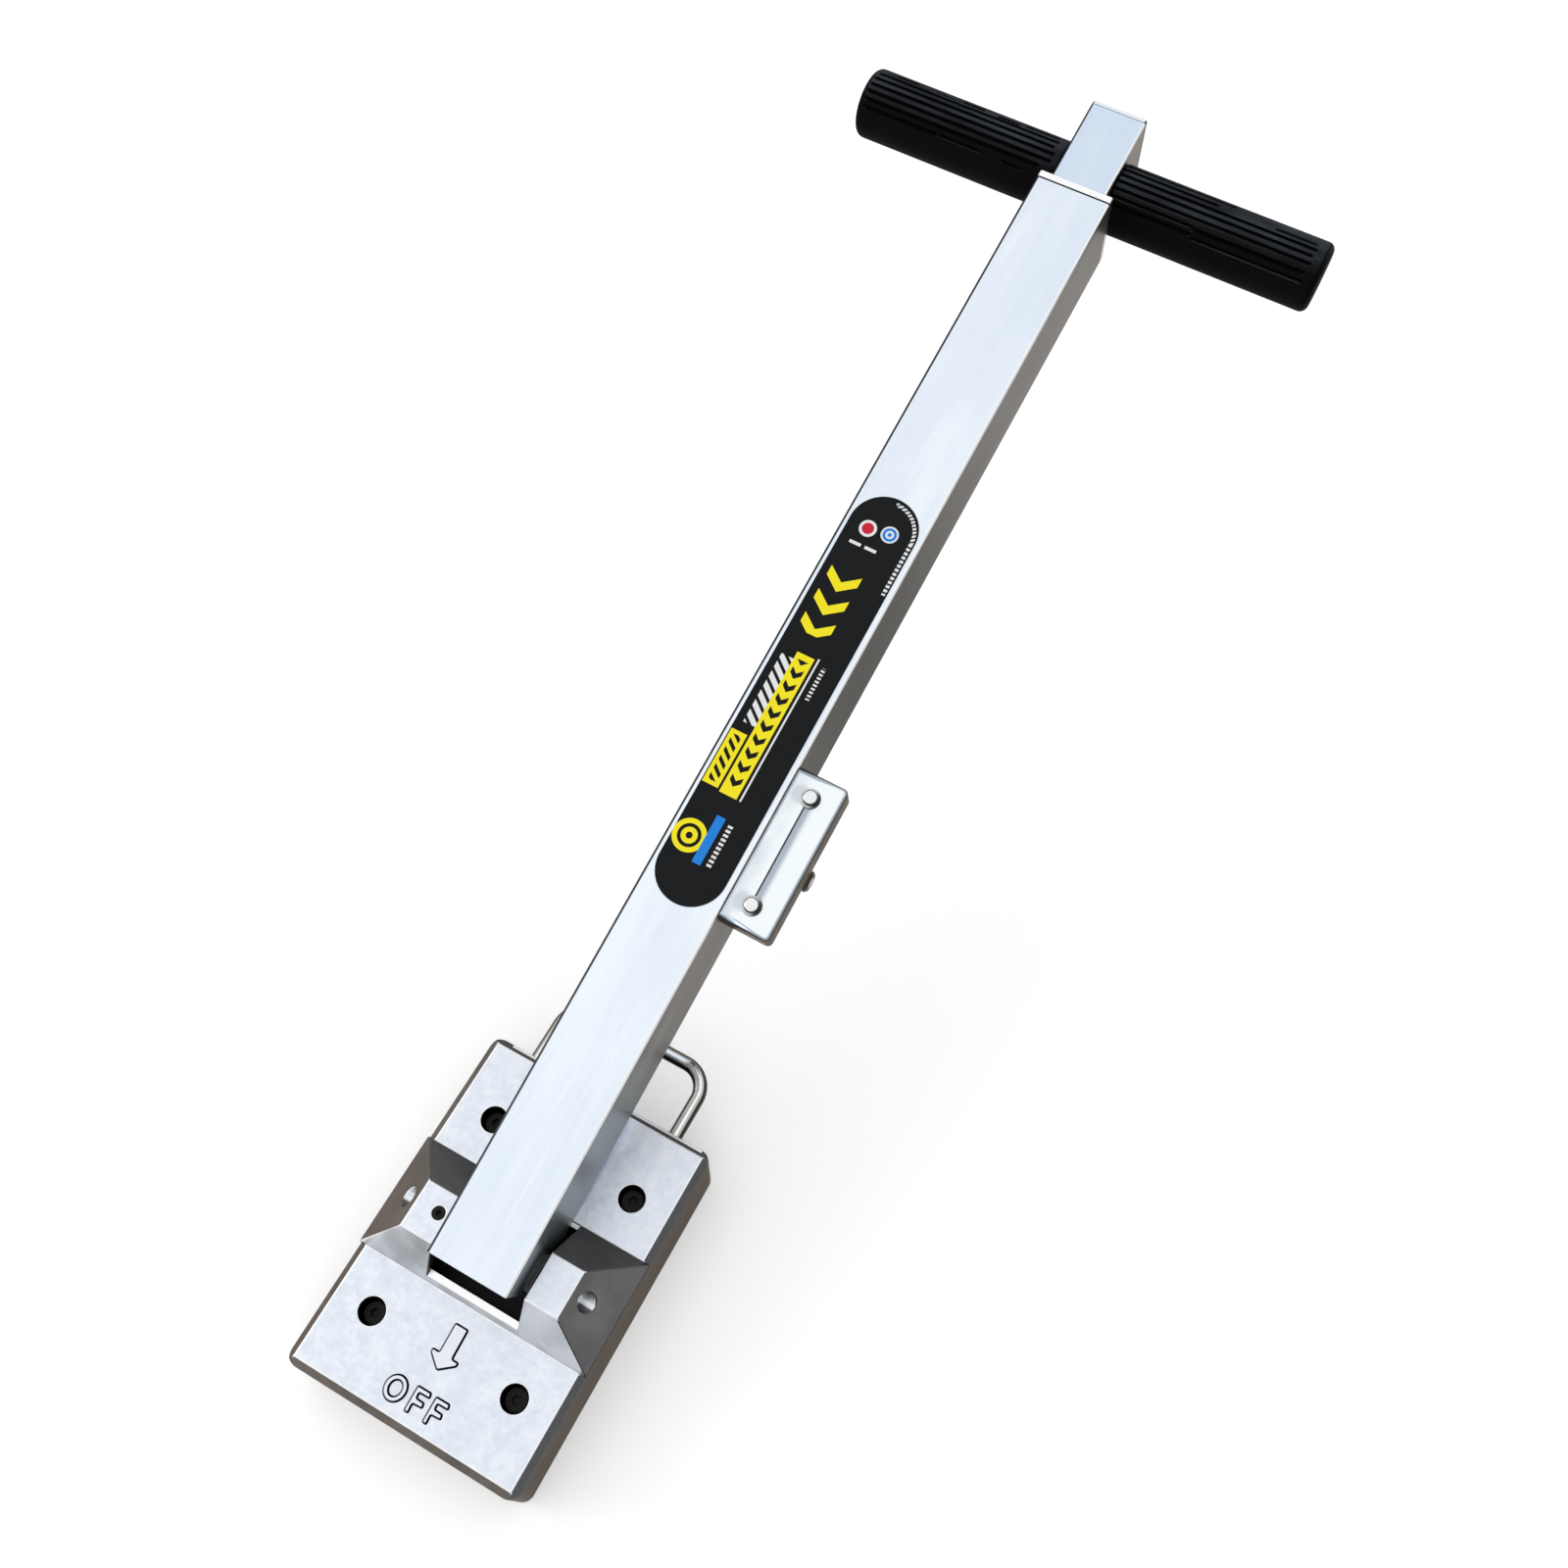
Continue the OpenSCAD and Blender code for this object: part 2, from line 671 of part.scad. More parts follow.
module cover_washers() {
    color("silver") on_handle() at_cover_screws() difference() {
        cylinder(d = cover_washer_d, h = cover_washer_t);
        translate([0, 0, -over]) cylinder(d = cover_screw_d + 0.3, h = cover_washer_t + 2 * over);
    }
}

module plunger_barrel() {
    color("dimgray") on_handle() translate([0, plunger_y, tube_mid_z]) difference() {
        round_x(barrel_d, barrel_x, barrel_end_x);
        round_x(barrel_bore_d, barrel_x - over, barrel_end_x - barrel_end_t);
        round_x(stem_d + 0.3, barrel_x, barrel_end_x + over);
    }
}

module latch_plunger() {
    color("gray") on_handle() translate([0, plunger_y, tube_mid_z]) {
        round_x(nose_d, nose_x, shoulder_x + over);
        round_x(shoulder_d, shoulder_x, shoulder_x + shoulder_t);
        round_x(stem_d, shoulder_x, knob_x);
        round_x(knob_thread_d, shoulder_x, knob_x + knob_seat);
    }
}

// Coil from the plunger's shoulder to the barrel's end, one swept tube
module plunger_spring() {
    rings = spring_turns * 18;
    sides = 8;
    r = spring_wire_d / 2;
    run = spring_len - spring_wire_d - 2 * seat_gap;
    points = [for (i = [0 : rings], j = [0 : sides - 1])
        let (turn = 360 * spring_turns * i / rings, side = 360 * j / sides, reach_r = spring_mid_r + r * cos(side))
            [spring_x + seat_gap + r + run * i / rings + r * sin(side), reach_r * cos(turn), reach_r * sin(turn)]];
    walls = [for (i = [0 : rings - 1], j = [0 : sides - 1], half = [0, 1])
        let (a = i * sides + j, b = i * sides + (j + 1) % sides)
            half == 0 ? [a, b, b + sides] : [a, b + sides, a + sides]];
    start = [[for (j = [sides - 1 : -1 : 0]) j]];
    end = [[for (j = [0 : sides - 1]) rings * sides + j]];
    color("silver") on_handle() translate([0, plunger_y, tube_mid_z])
        polyhedron(points, concat(walls, start, end));
}

module plunger_knob() {
    color("gray") on_handle() translate([0, plunger_y, tube_mid_z]) difference() {
        union() {
            round_x(knob_d, knob_x, knob_x + knob_t - 0.8);
            round_x(knob_d - 1.6, knob_x, knob_x + knob_t);
        }
        round_x(knob_thread_d + 2 * seat_gap, knob_x - over, knob_x + knob_seat + seat_gap);
        round_x(knob_dimple_d, knob_x + knob_t - knob_dimple, knob_x + knob_t + over);
    }
}

module inner_tube() {
    color("lightsteelblue") on_handle() difference() {
        section_bar(inner_w, inner_h, 1.4, inner_y, inner_len);
        section_bar(inner_w - 2 * inner_t, inner_h - 2 * inner_t, 0.6, inner_y - over, inner_len + 2 * over);
        translate([0, bar_y, tube_mid_z]) {
            round_x(bar_d + 2 * seat_gap, -inner_w, inner_w);
            translate([0, 0, -inner_h]) cylinder(d = bar_screw_d + 0.4, h = inner_h);
        }
        for (i = [1 : lock_stops])
            translate([0, plunger_y - i * reach / lock_stops, tube_mid_z]) round_x(lock_hole_d, 0, inner_w);
    }
}

module inner_end_cap() {
    hollow_w = inner_w - 2 * inner_t - 2 * seat_gap;
    hollow_h = inner_h - 2 * inner_t - 2 * seat_gap;
    color("silver") on_handle() difference() {
        union() {
            section_bar(inner_w, inner_h, 1.8, inner_end_y, cap_t);
            section_bar(hollow_w, hollow_h, 0.6, inner_end_y - cap_plug_len, cap_plug_len + over);
        }
        section_bar(hollow_w - 4, hollow_h - 4, 0.6, inner_end_y - cap_plug_len - over, cap_plug_len);
    }
}

module guide_shoe() {
    plug_w = inner_w - 2 * inner_t - 2 * seat_gap;
    plug_h = inner_h - 2 * inner_t - 2 * seat_gap;
    color("whitesmoke") on_handle() difference() {
        union() {
            section_bar(bore_w - 2 * slide_gap, bore_h - 2 * slide_gap, tube_corner_r / 2, shoe_y, shoe_len);
            section_bar(plug_w, plug_h, 0.6, shoe_y, shoe_len + shoe_plug_len);
        }
        section_bar(plug_w - 2 * shoe_plug_t, plug_h - 2 * shoe_plug_t, 0.6,
            shoe_y - over, shoe_len + shoe_plug_len + 2 * over);
    }
}

module cross_bar() {
    color("lightgray") on_handle() translate([0, bar_y, tube_mid_z]) difference() {
        round_x(bar_d, -bar_len / 2, bar_len / 2);
        round_x(bar_d - 2 * bar_t, -bar_len / 2 - over, bar_len / 2 + over);
        translate([0, 0, -bar_d]) cylinder(d = bar_screw_d + 2 * seat_gap, h = bar_d);
    }
}

module bar_screw() {
    tip_z = -bar_d / 2 + bar_t + bar_screw_bite;
    color("gray") on_handle() translate([0, bar_y, tube_mid_z]) difference() {
        union() {
            translate([0, 0, -inner_h / 2 - bar_screw_head_h])
                cylinder(d = bar_screw_head_d, h = bar_screw_head_h);
            translate([0, 0, -inner_h / 2 - over]) cylinder(d = bar_screw_d, h = inner_h / 2 + over + tip_z);
        }
        translate([0, 0, -inner_h / 2 - bar_screw_head_h - over]) cylinder(d = 3, h = over + 1.8, $fn = 6);
    }
}

// Rubber sleeve with a closed, rounded end, drawn on the +X side
module grip() {
    start = inner_w / 2 + slide_gap;
    len = grip_span / 2 - start;
    r = grip_d / 2;
    on_handle() translate([start, bar_y, tube_mid_z]) difference() {
        turned_x() {
            square([r, len - grip_round]);
            square([r - grip_round, len]);
            translate([r - grip_round, len - grip_round]) circle(grip_round);
        }
        round_x(bar_d + 2 * seat_gap, -over, len - grip_end_t);
    }
}

module left_grip() {
    color([0.09, 0.09, 0.1]) mirror([1, 0, 0]) grip();
}

module right_grip() {
    color([0.09, 0.09, 0.1]) grip();
}

base_casting();
magnet_yoke();
pole_bars();
magnets();
wear_plate();
wear_plate_screws();
base_screws();
bail();
pivot_pin();
pin_set_screw();
pivot_washers();
outer_tube();
pivot_block();
pivot_bushes();
block_screws();
mouth_collar();
travel_stop();
label();
latch_block();
latch_cover();
cover_screws();
cover_washers();
plunger_barrel();
latch_plunger();
plunger_spring();
plunger_knob();
inner_tube();
inner_end_cap();
guide_shoe();
cross_bar();
bar_screw();
left_grip();
right_grip();
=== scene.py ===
# Magnetic manhole cover lifter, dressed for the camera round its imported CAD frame.
# It follows the tool from the base up: casting, pivot, handle tube, latch, inner tube, grips.
import json
import math

import bmesh
import bpy
from mathutils import Matrix, Vector
from mathutils.geometry import delaunay_2d_cdt

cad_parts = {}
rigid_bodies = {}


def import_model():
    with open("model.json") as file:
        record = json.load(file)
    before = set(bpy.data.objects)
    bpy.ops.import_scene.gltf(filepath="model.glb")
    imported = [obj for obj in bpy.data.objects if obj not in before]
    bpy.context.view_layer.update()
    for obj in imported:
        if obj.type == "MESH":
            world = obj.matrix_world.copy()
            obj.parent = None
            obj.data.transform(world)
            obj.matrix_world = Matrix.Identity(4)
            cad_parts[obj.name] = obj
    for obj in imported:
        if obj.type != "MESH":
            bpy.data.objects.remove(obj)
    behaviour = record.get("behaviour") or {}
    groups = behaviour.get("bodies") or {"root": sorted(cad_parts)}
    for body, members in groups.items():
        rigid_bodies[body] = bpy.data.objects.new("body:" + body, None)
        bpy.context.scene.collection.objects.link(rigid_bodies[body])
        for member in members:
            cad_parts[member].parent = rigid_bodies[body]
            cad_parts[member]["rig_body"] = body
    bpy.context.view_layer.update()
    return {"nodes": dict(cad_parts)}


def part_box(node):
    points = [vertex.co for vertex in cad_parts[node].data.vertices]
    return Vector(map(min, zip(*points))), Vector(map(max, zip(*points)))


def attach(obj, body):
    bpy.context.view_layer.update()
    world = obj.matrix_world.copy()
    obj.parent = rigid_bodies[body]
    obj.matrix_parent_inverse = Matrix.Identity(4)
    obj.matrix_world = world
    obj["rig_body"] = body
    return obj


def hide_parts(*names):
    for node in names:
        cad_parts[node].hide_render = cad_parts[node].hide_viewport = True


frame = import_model()
nodes = frame["nodes"]

# Base casting
# The real piece is a steel casting, tumbled to a satin silver, with its rim and ears milled.
# It carries the magnet pack below and the handle's pivot in its two ears. Sizes here are in metres.
HALF_WIDE, HALF_LONG = 0.060, 0.084
PLATE_TOP = 0.044
BORE_X, BORE_Y, BORE_RADIUS = 0.0375, 0.0487, 0.0066
POCKET_HALF, POCKET_FRONT, POCKET_REAR, POCKET_TOP = 0.0242, -0.0214, 0.0247, 0.0515
EAR_CREST = 0.0703
REAR_LIP = (-0.0500, 0.0545)
GRAZING_TINT = (0.42, 0.39, 0.36)


class Wire:
    """A shader socket that does its own sums: an expression on wires adds Math nodes."""

    def __init__(self, finish, socket):
        self.finish = finish
        self.socket = socket

    def maths(self, operation, *values):
        return self.finish.node("ShaderNodeMath", {"operation": operation}, dict(enumerate(values)))

    def __add__(self, other):
        return self.maths("ADD", self, other)

    def __sub__(self, other):
        return self.maths("SUBTRACT", self, other)

    def __rsub__(self, other):
        return self.maths("SUBTRACT", other, self)

    def __mul__(self, other):
        return self.maths("MULTIPLY", self, other)

    def __truediv__(self, other):
        return self.maths("DIVIDE", self, other)

    def __pow__(self, other):
        return self.maths("POWER", self, other)

    def __abs__(self):
        return self.maths("ABSOLUTE", self)

    def __lt__(self, other):
        return self.maths("LESS_THAN", self, other)

    def __gt__(self, other):
        return self.maths("GREATER_THAN", self, other)

    __radd__ = __add__
    __rmul__ = __mul__

    def at_most(self, other):
        return self.maths("MINIMUM", self, other)

    def at_least(self, other):
        return self.maths("MAXIMUM", self, other)

    def between(self, low, high):
        """1 from low to high, and 0 outside."""
        return (self > low) * (self < high)

    def ramp(self, low, high):
        """0 below low and 1 above high, with a soft step between."""
        soft = {"interpolation_type": "SMOOTHSTEP"}
        return self.finish.node("ShaderNodeMapRange", soft, {0: self, 1: low, 2: high})


class Finish:
    """One procedural material, with its Principled shader."""

    def __init__(self, name, **constants):
        self.material = bpy.data.materials.new(name)
        self.material.use_nodes = True
        self.tree = self.material.node_tree
        self.shader = self.tree.nodes["Principled BSDF"]
        self.feed(constants)

    def feed(self, inputs, node=None):
        """Sets sockets to plain values or links them to wires."""
        for key, value in inputs.items():
            socket = (node or self.shader).inputs[key]
            if isinstance(value, Wire):
                self.tree.links.new(value.socket, socket)
            elif isinstance(value, tuple) and socket.type == "RGBA":
                socket.default_value = (*value, 1)
            else:
                socket.default_value = value

    def node(self, kind, settings, inputs, output=0):
        """Adds one node, with its settings first and then its sockets."""
        node = self.tree.nodes.new(kind)
        for key, value in settings.items():
            setattr(node, key, value)
        self.feed(inputs, node)
        return Wire(self, node.outputs[output])

    def mix(self, mask, first, second):
        """Colour that goes from first to second as mask goes from 0 to 1."""
        return self.node("ShaderNodeMix", {"data_type": "RGBA"}, {0: mask, 6: first, 7: second}, 2)

    def place(self, lean=0, centre=(0, 0, 0)):
        """The point's place on the piece, turned level again if the piece leans."""
        point = self.node("ShaderNodeTexCoord", {}, {}, "Object")
        if lean:
            point = self.node("ShaderNodeVectorRotate", {"rotation_type": "X_AXIS"},
                              {"Vector": point, "Center": centre, "Angle": -lean})
        return point

    def split(self, point):
        """The three parts of a vector."""
        return [self.node("ShaderNodeSeparateXYZ", {}, {0: point}, i) for i in range(3)]

    def facing(self):
        """The three parts of the direction in which the surface faces."""
        return self.split(self.node("ShaderNodeTexCoord", {}, {}, "Normal"))

    def speckle(self, point, stretch, detail=3.0, rough=0.55):
        """Soft noise from 0 to 1, finer along each axis as its stretch value grows."""
        scaled = self.node("ShaderNodeVectorMath", {"operation": "MULTIPLY"}, {0: point, 1: stretch})
        return self.node("ShaderNodeTexNoise", {},
                         {"Vector": scaled, "Scale": 1.0, "Detail": detail, "Roughness": rough})

    def bump(self, height, depth, strength=1.0):
        """Turns a height wire into the shader's normal; depth is in metres."""
        relief = {"Height": height, "Distance": depth, "Strength": strength}
        self.feed({"Normal": self.node("ShaderNodeBump", {}, relief)})


def dress(piece, finish):
    """Gives a piece one finish, in place of any that it has."""
    if piece.data.materials:
        piece.data.materials.clear()
    piece.data.materials.append(finish.material)


def fitted(name, mesh, finish, body, slot, *stands_for):
    """Adds a finished mesh as a piece that moves with a body and stands for CAD nodes."""
    mesh.shade_smooth()
    mesh.set_sharp_from_angle(angle=math.radians(38))
    piece = bpy.data.objects.new(name, mesh)
    bpy.context.scene.collection.objects.link(piece)
    dress(piece, finish)
    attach(piece, body)
    if stands_for:
        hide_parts(*stands_for)
    return piece


def eased(name, node, width, finish, slot, worn_highlight=None, sharp=25):
    """A copy of a CAD node with its sharp edges rounded, and in the edge finish there if one is given; on the
    casting that finish is part wear and part painted highlight.
    """
    source = nodes[node]
    form = bmesh.new()
    form.from_mesh(source.data)
    bmesh.ops.remove_doubles(form, verts=form.verts, dist=2e-6)
    bmesh.ops.dissolve_limit(form, angle_limit=math.radians(1.5), verts=form.verts, edges=form.edges)
    if width:
        edges = [e for e in form.edges if e.is_manifold and e.calc_face_angle() > math.radians(sharp)]
        bmesh.ops.bevel(form, geom=edges, offset=width, segments=3, profile=0.5, affect="EDGES",
                        clamp_overlap=False, loop_slide=False, material=1 if worn_highlight else -1)
    mesh = bpy.data.meshes.new(name)
    form.to_mesh(mesh)
    form.free()
    piece = fitted(name, mesh, finish, source["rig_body"], slot, node)
    piece.modifiers.new("flat_faces", "WEIGHTED_NORMAL").keep_sharp = True
    if worn_highlight:
        mesh.materials.append(worn_highlight.material)


def casting_finish(name, ground_low, ground_high, edge=0.0):
    """Ground steel on the level faces, and the casting's skin on slopes, rim and walls, painted darker as
    shade; slopes facing the front are painted lighter as light.

    The rear rim has a lip painted bright as a highlight. The bores and the pocket below the tube's foot are
    painted black as shade.
    """
    finish = Finish(name, Metallic=1.0, **{"Specular Tint": GRAZING_TINT})
    point = finish.place()
    x, y, z = finish.split(point)
    grain = finish.speckle(point, (420, 420, 420), 4.0, 0.6)
    marks = finish.speckle(point, (150, 190, 150), 3.0, 0.6)
    clouds = finish.speckle(point, (48, 40, 48), 3.0, 0.55)
    facing_x, facing_y, facing_z = finish.facing()

    # Painted light and shade on the slopes: those facing right darkest, those facing left a little lighter,
    # those facing the front painted lighter as light.
    shaded_skin = finish.mix((facing_x * -1).ramp(0.0, 0.5), (0.125, 0.125, 0.13), (0.17, 0.155, 0.145))
    shaded_skin = finish.mix(clouds.ramp(0.3, 0.7) * 0.25, shaded_skin, (0.30, 0.28, 0.26))
    bright = finish.mix(clouds.ramp(0.35, 0.7), (0.88, 0.90, 0.93), (0.62, 0.62, 0.63))
    skin = finish.mix((facing_y * -1).ramp(0.05, 0.45), shaded_skin, bright)
    # A dark line is painted as shade where slopes meet the plate, and along each ear's front right ridge.
    root_shade = z.between(PLATE_TOP - 0.0001, PLATE_TOP + 0.0005) * (facing_z < 0.9)
    ridge_shade = (facing_x > 0.1) * (facing_y < -0.1) * (facing_z > 0.25) * (z > PLATE_TOP + 0.0005)
    skin = finish.mix(root_shade.at_least(ridge_shade), skin, (0.05, 0.046, 0.043))

    side_rim = abs(x).ramp(HALF_WIDE - 0.0038, HALF_WIDE - 0.0032)
    end_rim = abs(y).ramp(HALF_LONG - 0.0038, HALF_LONG - 0.0032)
    rim = side_rim.at_least(end_rim) * (z < PLATE_TOP + 0.0001)
    chamfer = rim * facing_z.ramp(0.2, 0.5)
    # The walls and chamfers are painted darker as shade over their real mottle; chamfers facing right are
    # painted bluish and those facing the rear darker, as shade. The rear lip is painted bright as a
    # highlight.
    rear_lip_highlight = chamfer * y.between(HALF_LONG - 0.0015, HALF_LONG - 0.0002) * x.between(*REAR_LIP)
    mottled = (clouds * 0.4 + marks * 0.25 + grain * 0.35).ramp(0.3, 0.7)
    walls = finish.mix(mottled, (0.125, 0.108, 0.096), (0.20, 0.178, 0.16))
    walls = finish.mix(chamfer * (facing_x > 0.3), walls, (0.15, 0.155, 0.165))
    walls = finish.mix(chamfer * (facing_y > 0.3), walls, (0.095, 0.098, 0.105))
    walls = finish.mix(rear_lip_highlight, walls, (0.95, 0.95, 0.95))
    metal = finish.mix((facing_z.ramp(0.15, 0.4) * (1 - rim)).at_most(1.0), walls, skin)

    fine = (marks * 0.45 + grain * 0.42 + clouds * 0.13).ramp(0.36, 0.64)
    ground = finish.mix(fine, ground_low, ground_high)
    # The plate's top edge and the ears' crests are painted bright, partly as wear and partly as a highlight.
    plate_edge = z.ramp(PLATE_TOP - 0.0010, PLATE_TOP - 0.0004) * (z < PLATE_TOP + 0.0006)
    plate_edge = plate_edge * (abs(x) < HALF_WIDE - 0.0025)
    worn_highlight = (plate_edge + z.ramp(EAR_CREST - 0.0003, EAR_CREST + 0.0003)) * edge
    metal = finish.mix((facing_z.ramp(0.93, 0.99) + worn_highlight).at_most(1.0), metal, ground)
    between_ears = abs(x) < POCKET_HALF
    # Level faces between the ears are rubbed bright, and painted white as a highlight.
    rubbed_highlight = z.between(PLATE_TOP + 0.0006, POCKET_TOP + 0.0005) * (facing_z > 0.9) * between_ears
    metal = finish.mix(rubbed_highlight, metal, (0.99, 0.99, 0.99))

    from_bore = (abs(x) - BORE_X) ** 2.0 + (abs(y) - BORE_Y) ** 2.0
    bore = (from_bore < BORE_RADIUS ** 2) * (z < PLATE_TOP - 0.0004)
    pocket = between_ears * y.between(POCKET_FRONT, POCKET_REAR) * (z < POCKET_TOP)
    # The bores and the pocket are painted black as shade.
    finish.feed({
        "Base Color": finish.mix(bore.at_least(pocket), metal, (0.012, 0.012, 0.013)),
        "Roughness": marks * 0.14 + grain * 0.1 + 0.26,
    })
    finish.bump(grain * 0.4 + marks, 0.00026, 0.5)
    return finish


cast_steel = casting_finish("cast_steel", (0.72, 0.77, 0.85), (0.84, 0.88, 0.95))
# The finish of the casting's rounded edges: part wear, part painted highlight.
worn_highlight_steel = casting_finish("worn_highlight_steel", (0.86, 0.88, 0.90), (0.97, 0.98, 0.99), edge=1.0)
eased("casting", "base_casting", 0.00045, cast_steel, "cast_steel", worn_highlight=worn_highlight_steel)

# Cast lettering
# The word OFF and an arrow stand proud of the plate, cast in one with it and ground level on top.
# They tell which way to tip the handle so that the magnet lets go. Only their outlines are in mm.
RAISED = 0.0009
DRAFT = 0.0009
ROOT = 0.0006
FACE_INSET = 0.0005


def rounded(points, radius, steps=4):
    """A closed outline with each corner turned into a small arc."""
    outline = []
    for before, corner, after in zip(points[-1:] + points[:-1], points, points[1:] + points[:1]):
        corner = Vector(corner)
        arms = [Vector(end) - corner for end in (before, after)]
        reach = min(radius, arms[0].length * 0.45, arms[1].length * 0.45)
        first, last = [corner + arm.normalized() * reach for arm in arms]
        for i in range(steps + 1):
            t = i / steps
            outline.append(first * (1 - t) ** 2 + corner * 2 * t * (1 - t) + last * t ** 2)
    return outline


def raised(name, outlines, finish):
    """A cast form on the plate, from closed outlines, with drafted sides that run on below its face."""
    curve = bpy.data.curves.new(name, "CURVE")
    curve.dimensions = "2D"
    curve.fill_mode = "BOTH"
    curve.extrude = ROOT
    curve.bevel_depth = DRAFT
    curve.bevel_resolution = 0
    curve.offset = -FACE_INSET
    for outline in outlines:
        spline = curve.splines.new("POLY")
        spline.points.add(len(outline) - 1)
        for knot, place in zip(spline.points, outline):
            knot.co = (place.x / 1000, place.y / 1000, 0, 1)
        spline.use_cyclic_u = True
    pattern = bpy.data.objects.new(name, curve)
    bpy.context.scene.collection.objects.link(pattern)
    mesh = bpy.data.meshes.new_from_object(pattern.evaluated_get(bpy.context.evaluated_depsgraph_get()))
    bpy.data.objects.remove(pattern)
    mesh.name = name
    mesh.transform(Matrix.Translation((0, 0, PLATE_TOP + RAISED - curve.extrude - DRAFT)))
    mesh.materials.clear()
    form = bmesh.new()
    form.from_mesh(mesh)
    bmesh.ops.remove_doubles(form, verts=form.verts, dist=1e-6)
    form.to_mesh(mesh)
    form.free()
    fitted(name, mesh, finish, "base", "cast_steel")


def ellipse(middle_x, middle_y, wide, tall, steps=40):
    """A closed oval outline of that half width and half height."""
    turns = [math.tau * i / steps for i in range(steps)]
    return [Vector((middle_x + wide * math.cos(a), middle_y + tall * math.sin(a))) for a in turns]


def letter_f(left):
    """Outline of one F whose top left corner is at that x; its feet point to the front edge."""
    points = [(0, -64.2), (6.8, -64.1), (7.3, -66.3), (2.1, -66.4), (2.3, -68.8), (6.3, -69.0), (6.7, -71.1),
              (2.0, -71.4), (2.3, -75.6), (0.2, -75.4)]
    return rounded([(left + x, y) for x, y in points], 0.7)


letter_o = [ellipse(-9.8, -69.85, 5.2, 5.7), ellipse(-9.8, -69.85, 2.9, 3.5)]
arrow = [(-2.1, -35), (-1.6, -48.4), (-5.2, -48.4), (-4.8, -50.2), (1.6, -55.2), (8.2, -50.1), (8.3, -48.4),
         (5.0, -48.4), (4.4, -35)]
letter_steel = Finish("letter_steel", Metallic=1.0)
facing_x, facing_y, facing_z = letter_steel.facing()
marks = letter_steel.speckle(letter_steel.place(), (150, 190, 150), 3.0)
# The drafted sides are painted near black as shade, lighter where they face left and front as painted light.
lit_side = (facing_x * -0.8 - facing_y * 0.6).ramp(-0.2, 0.75)
shaded = letter_steel.mix(lit_side, (0.004, 0.004, 0.005), (0.10, 0.105, 0.115))
letter_steel.feed({
    "Base Color": letter_steel.mix(facing_z.ramp(0.85, 0.97), shaded, (0.80, 0.84, 0.90)),
    "Roughness": marks * 0.15 + 0.3,
})
letter_steel.bump(marks, 0.0001)
raised("letters_off", letter_o + [letter_f(-1.8), letter_f(7.7)], letter_steel)
raised("arrow", [rounded(arrow, 0.9)], letter_steel)

# Magnet pack
# Ground steel yoke, pole bars and dull magnet blocks, closed by a stainless wear plate.
# They are bolted up into the casting; from below only the wear plate and its screws show.


def grained(name, stretch, low, high, spread, rough, depth, detail=3.0, **constants):
    """A plain finish of one grain, which tints it from low to high and roughens it by its spread."""
    finish = Finish(name, **constants)
    grain = finish.speckle(finish.place(), stretch, detail)
    finish.feed({"Base Color": finish.mix(grain, low, high), "Roughness": grain * spread + rough})
    finish.bump(grain, depth)
    return finish


ground_steel = grained("ground_steel", (90, 2200, 900), (0.42, 0.43, 0.45), (0.56, 0.57, 0.58),
                       0.2, 0.3, 0.00004, Metallic=1.0)
for name in ("magnet_yoke", "pole_bars"):
    dress(nodes[name], ground_steel)
magnet = grained("magnet", (900, 900, 900), (0.1, 0.1, 0.11), (0.2, 0.2, 0.21),
                 0.2, 0.45, 0.0001, Metallic=0.6)
dress(nodes["magnets"], magnet)
# The handle's small turned parts are of the same stainless steel as the wear plate.
stainless = Finish("stainless", Metallic=1.0)
point = stainless.place()
grain = stainless.speckle(point, (2400, 60, 2400), 4.0)
scuffs = stainless.speckle(point, (60, 500, 60), 3.0)
stainless.feed({
    "Base Color": stainless.mix(scuffs, (0.5, 0.5, 0.5), (0.68, 0.68, 0.67)),
    "Roughness": grain * 0.15 + scuffs * 0.15 + 0.2,
})
stainless.bump(grain, 0.00003)
for name in ("wear_plate", "wear_plate_screws", "block_screws", "travel_stop", "bar_screw", "latch_plunger",
             "plunger_spring"):
    dress(nodes[name], stainless)

# Base screws and set screw
# Black oxide socket screws: four hold the yoke from their counterbores, one locks the pivot pin.
# Deep in their bores they look nearly black.
black_oxide = grained("black_oxide", (1500, 1500, 1500), (0.005, 0.005, 0.006), (0.014, 0.014, 0.015),
                      0.2, 0.35, 0.00005, Metallic=0.7)
for name in ("base_screws", "pin_set_screw"):
    dress(nodes[name], black_oxide)

# Bail
# Polished round steel: one bent rod pressed into the casting's rear wall.
# Its crest is painted bright as a highlight, and both sides are painted dark as shade.
polished = Finish("polished", Metallic=1.0)
grain = polished.speckle(polished.place(), (90, 90, 90), 2.0)
upward = polished.facing()[2]
# Painted shade down the sides, and a painted highlight along the crest.
sides_shaded = polished.mix(upward.ramp(0.72, 0.93), (0.05, 0.042, 0.036), (0.55, 0.52, 0.49))
polished.feed({
    "Base Color": polished.mix(upward.ramp(0.955, 0.985), sides_shaded, (0.95, 0.95, 0.95)),
    "Roughness": grain * 0.08 + 0.1,
})
polished.bump(grain, 0.00001)
eased("bail_rod", "bail", 0, polished, "polished_rod")

# Pivot pin
# A turned and polished steel pin, which passes both ears and the tube's foot.
# Its profile is in mm: radius, and depth in from the pin's end, out from the centre drilling.
PIN_SIDES = 48
PIN_PROFILE = [(0.4, 1.6), (1.1, 1.4), (1.2, 0.3), (1.5, 0), (2.5, 0), (2.65, 0.35), (3.05, 0.35), (3.2, 0),
               (3.7, 0), (4.5, 0.8)]


def meshed(name, corners, faces):
    """A mesh from corners and faces, all faces turned outward."""
    mesh = bpy.data.meshes.new(name)
    mesh.from_pydata(corners, [], faces)
    form = bmesh.new()
    form.from_mesh(mesh)
    bmesh.ops.recalc_face_normals(form, faces=form.faces)
    form.to_mesh(mesh)
    form.free()
    return mesh


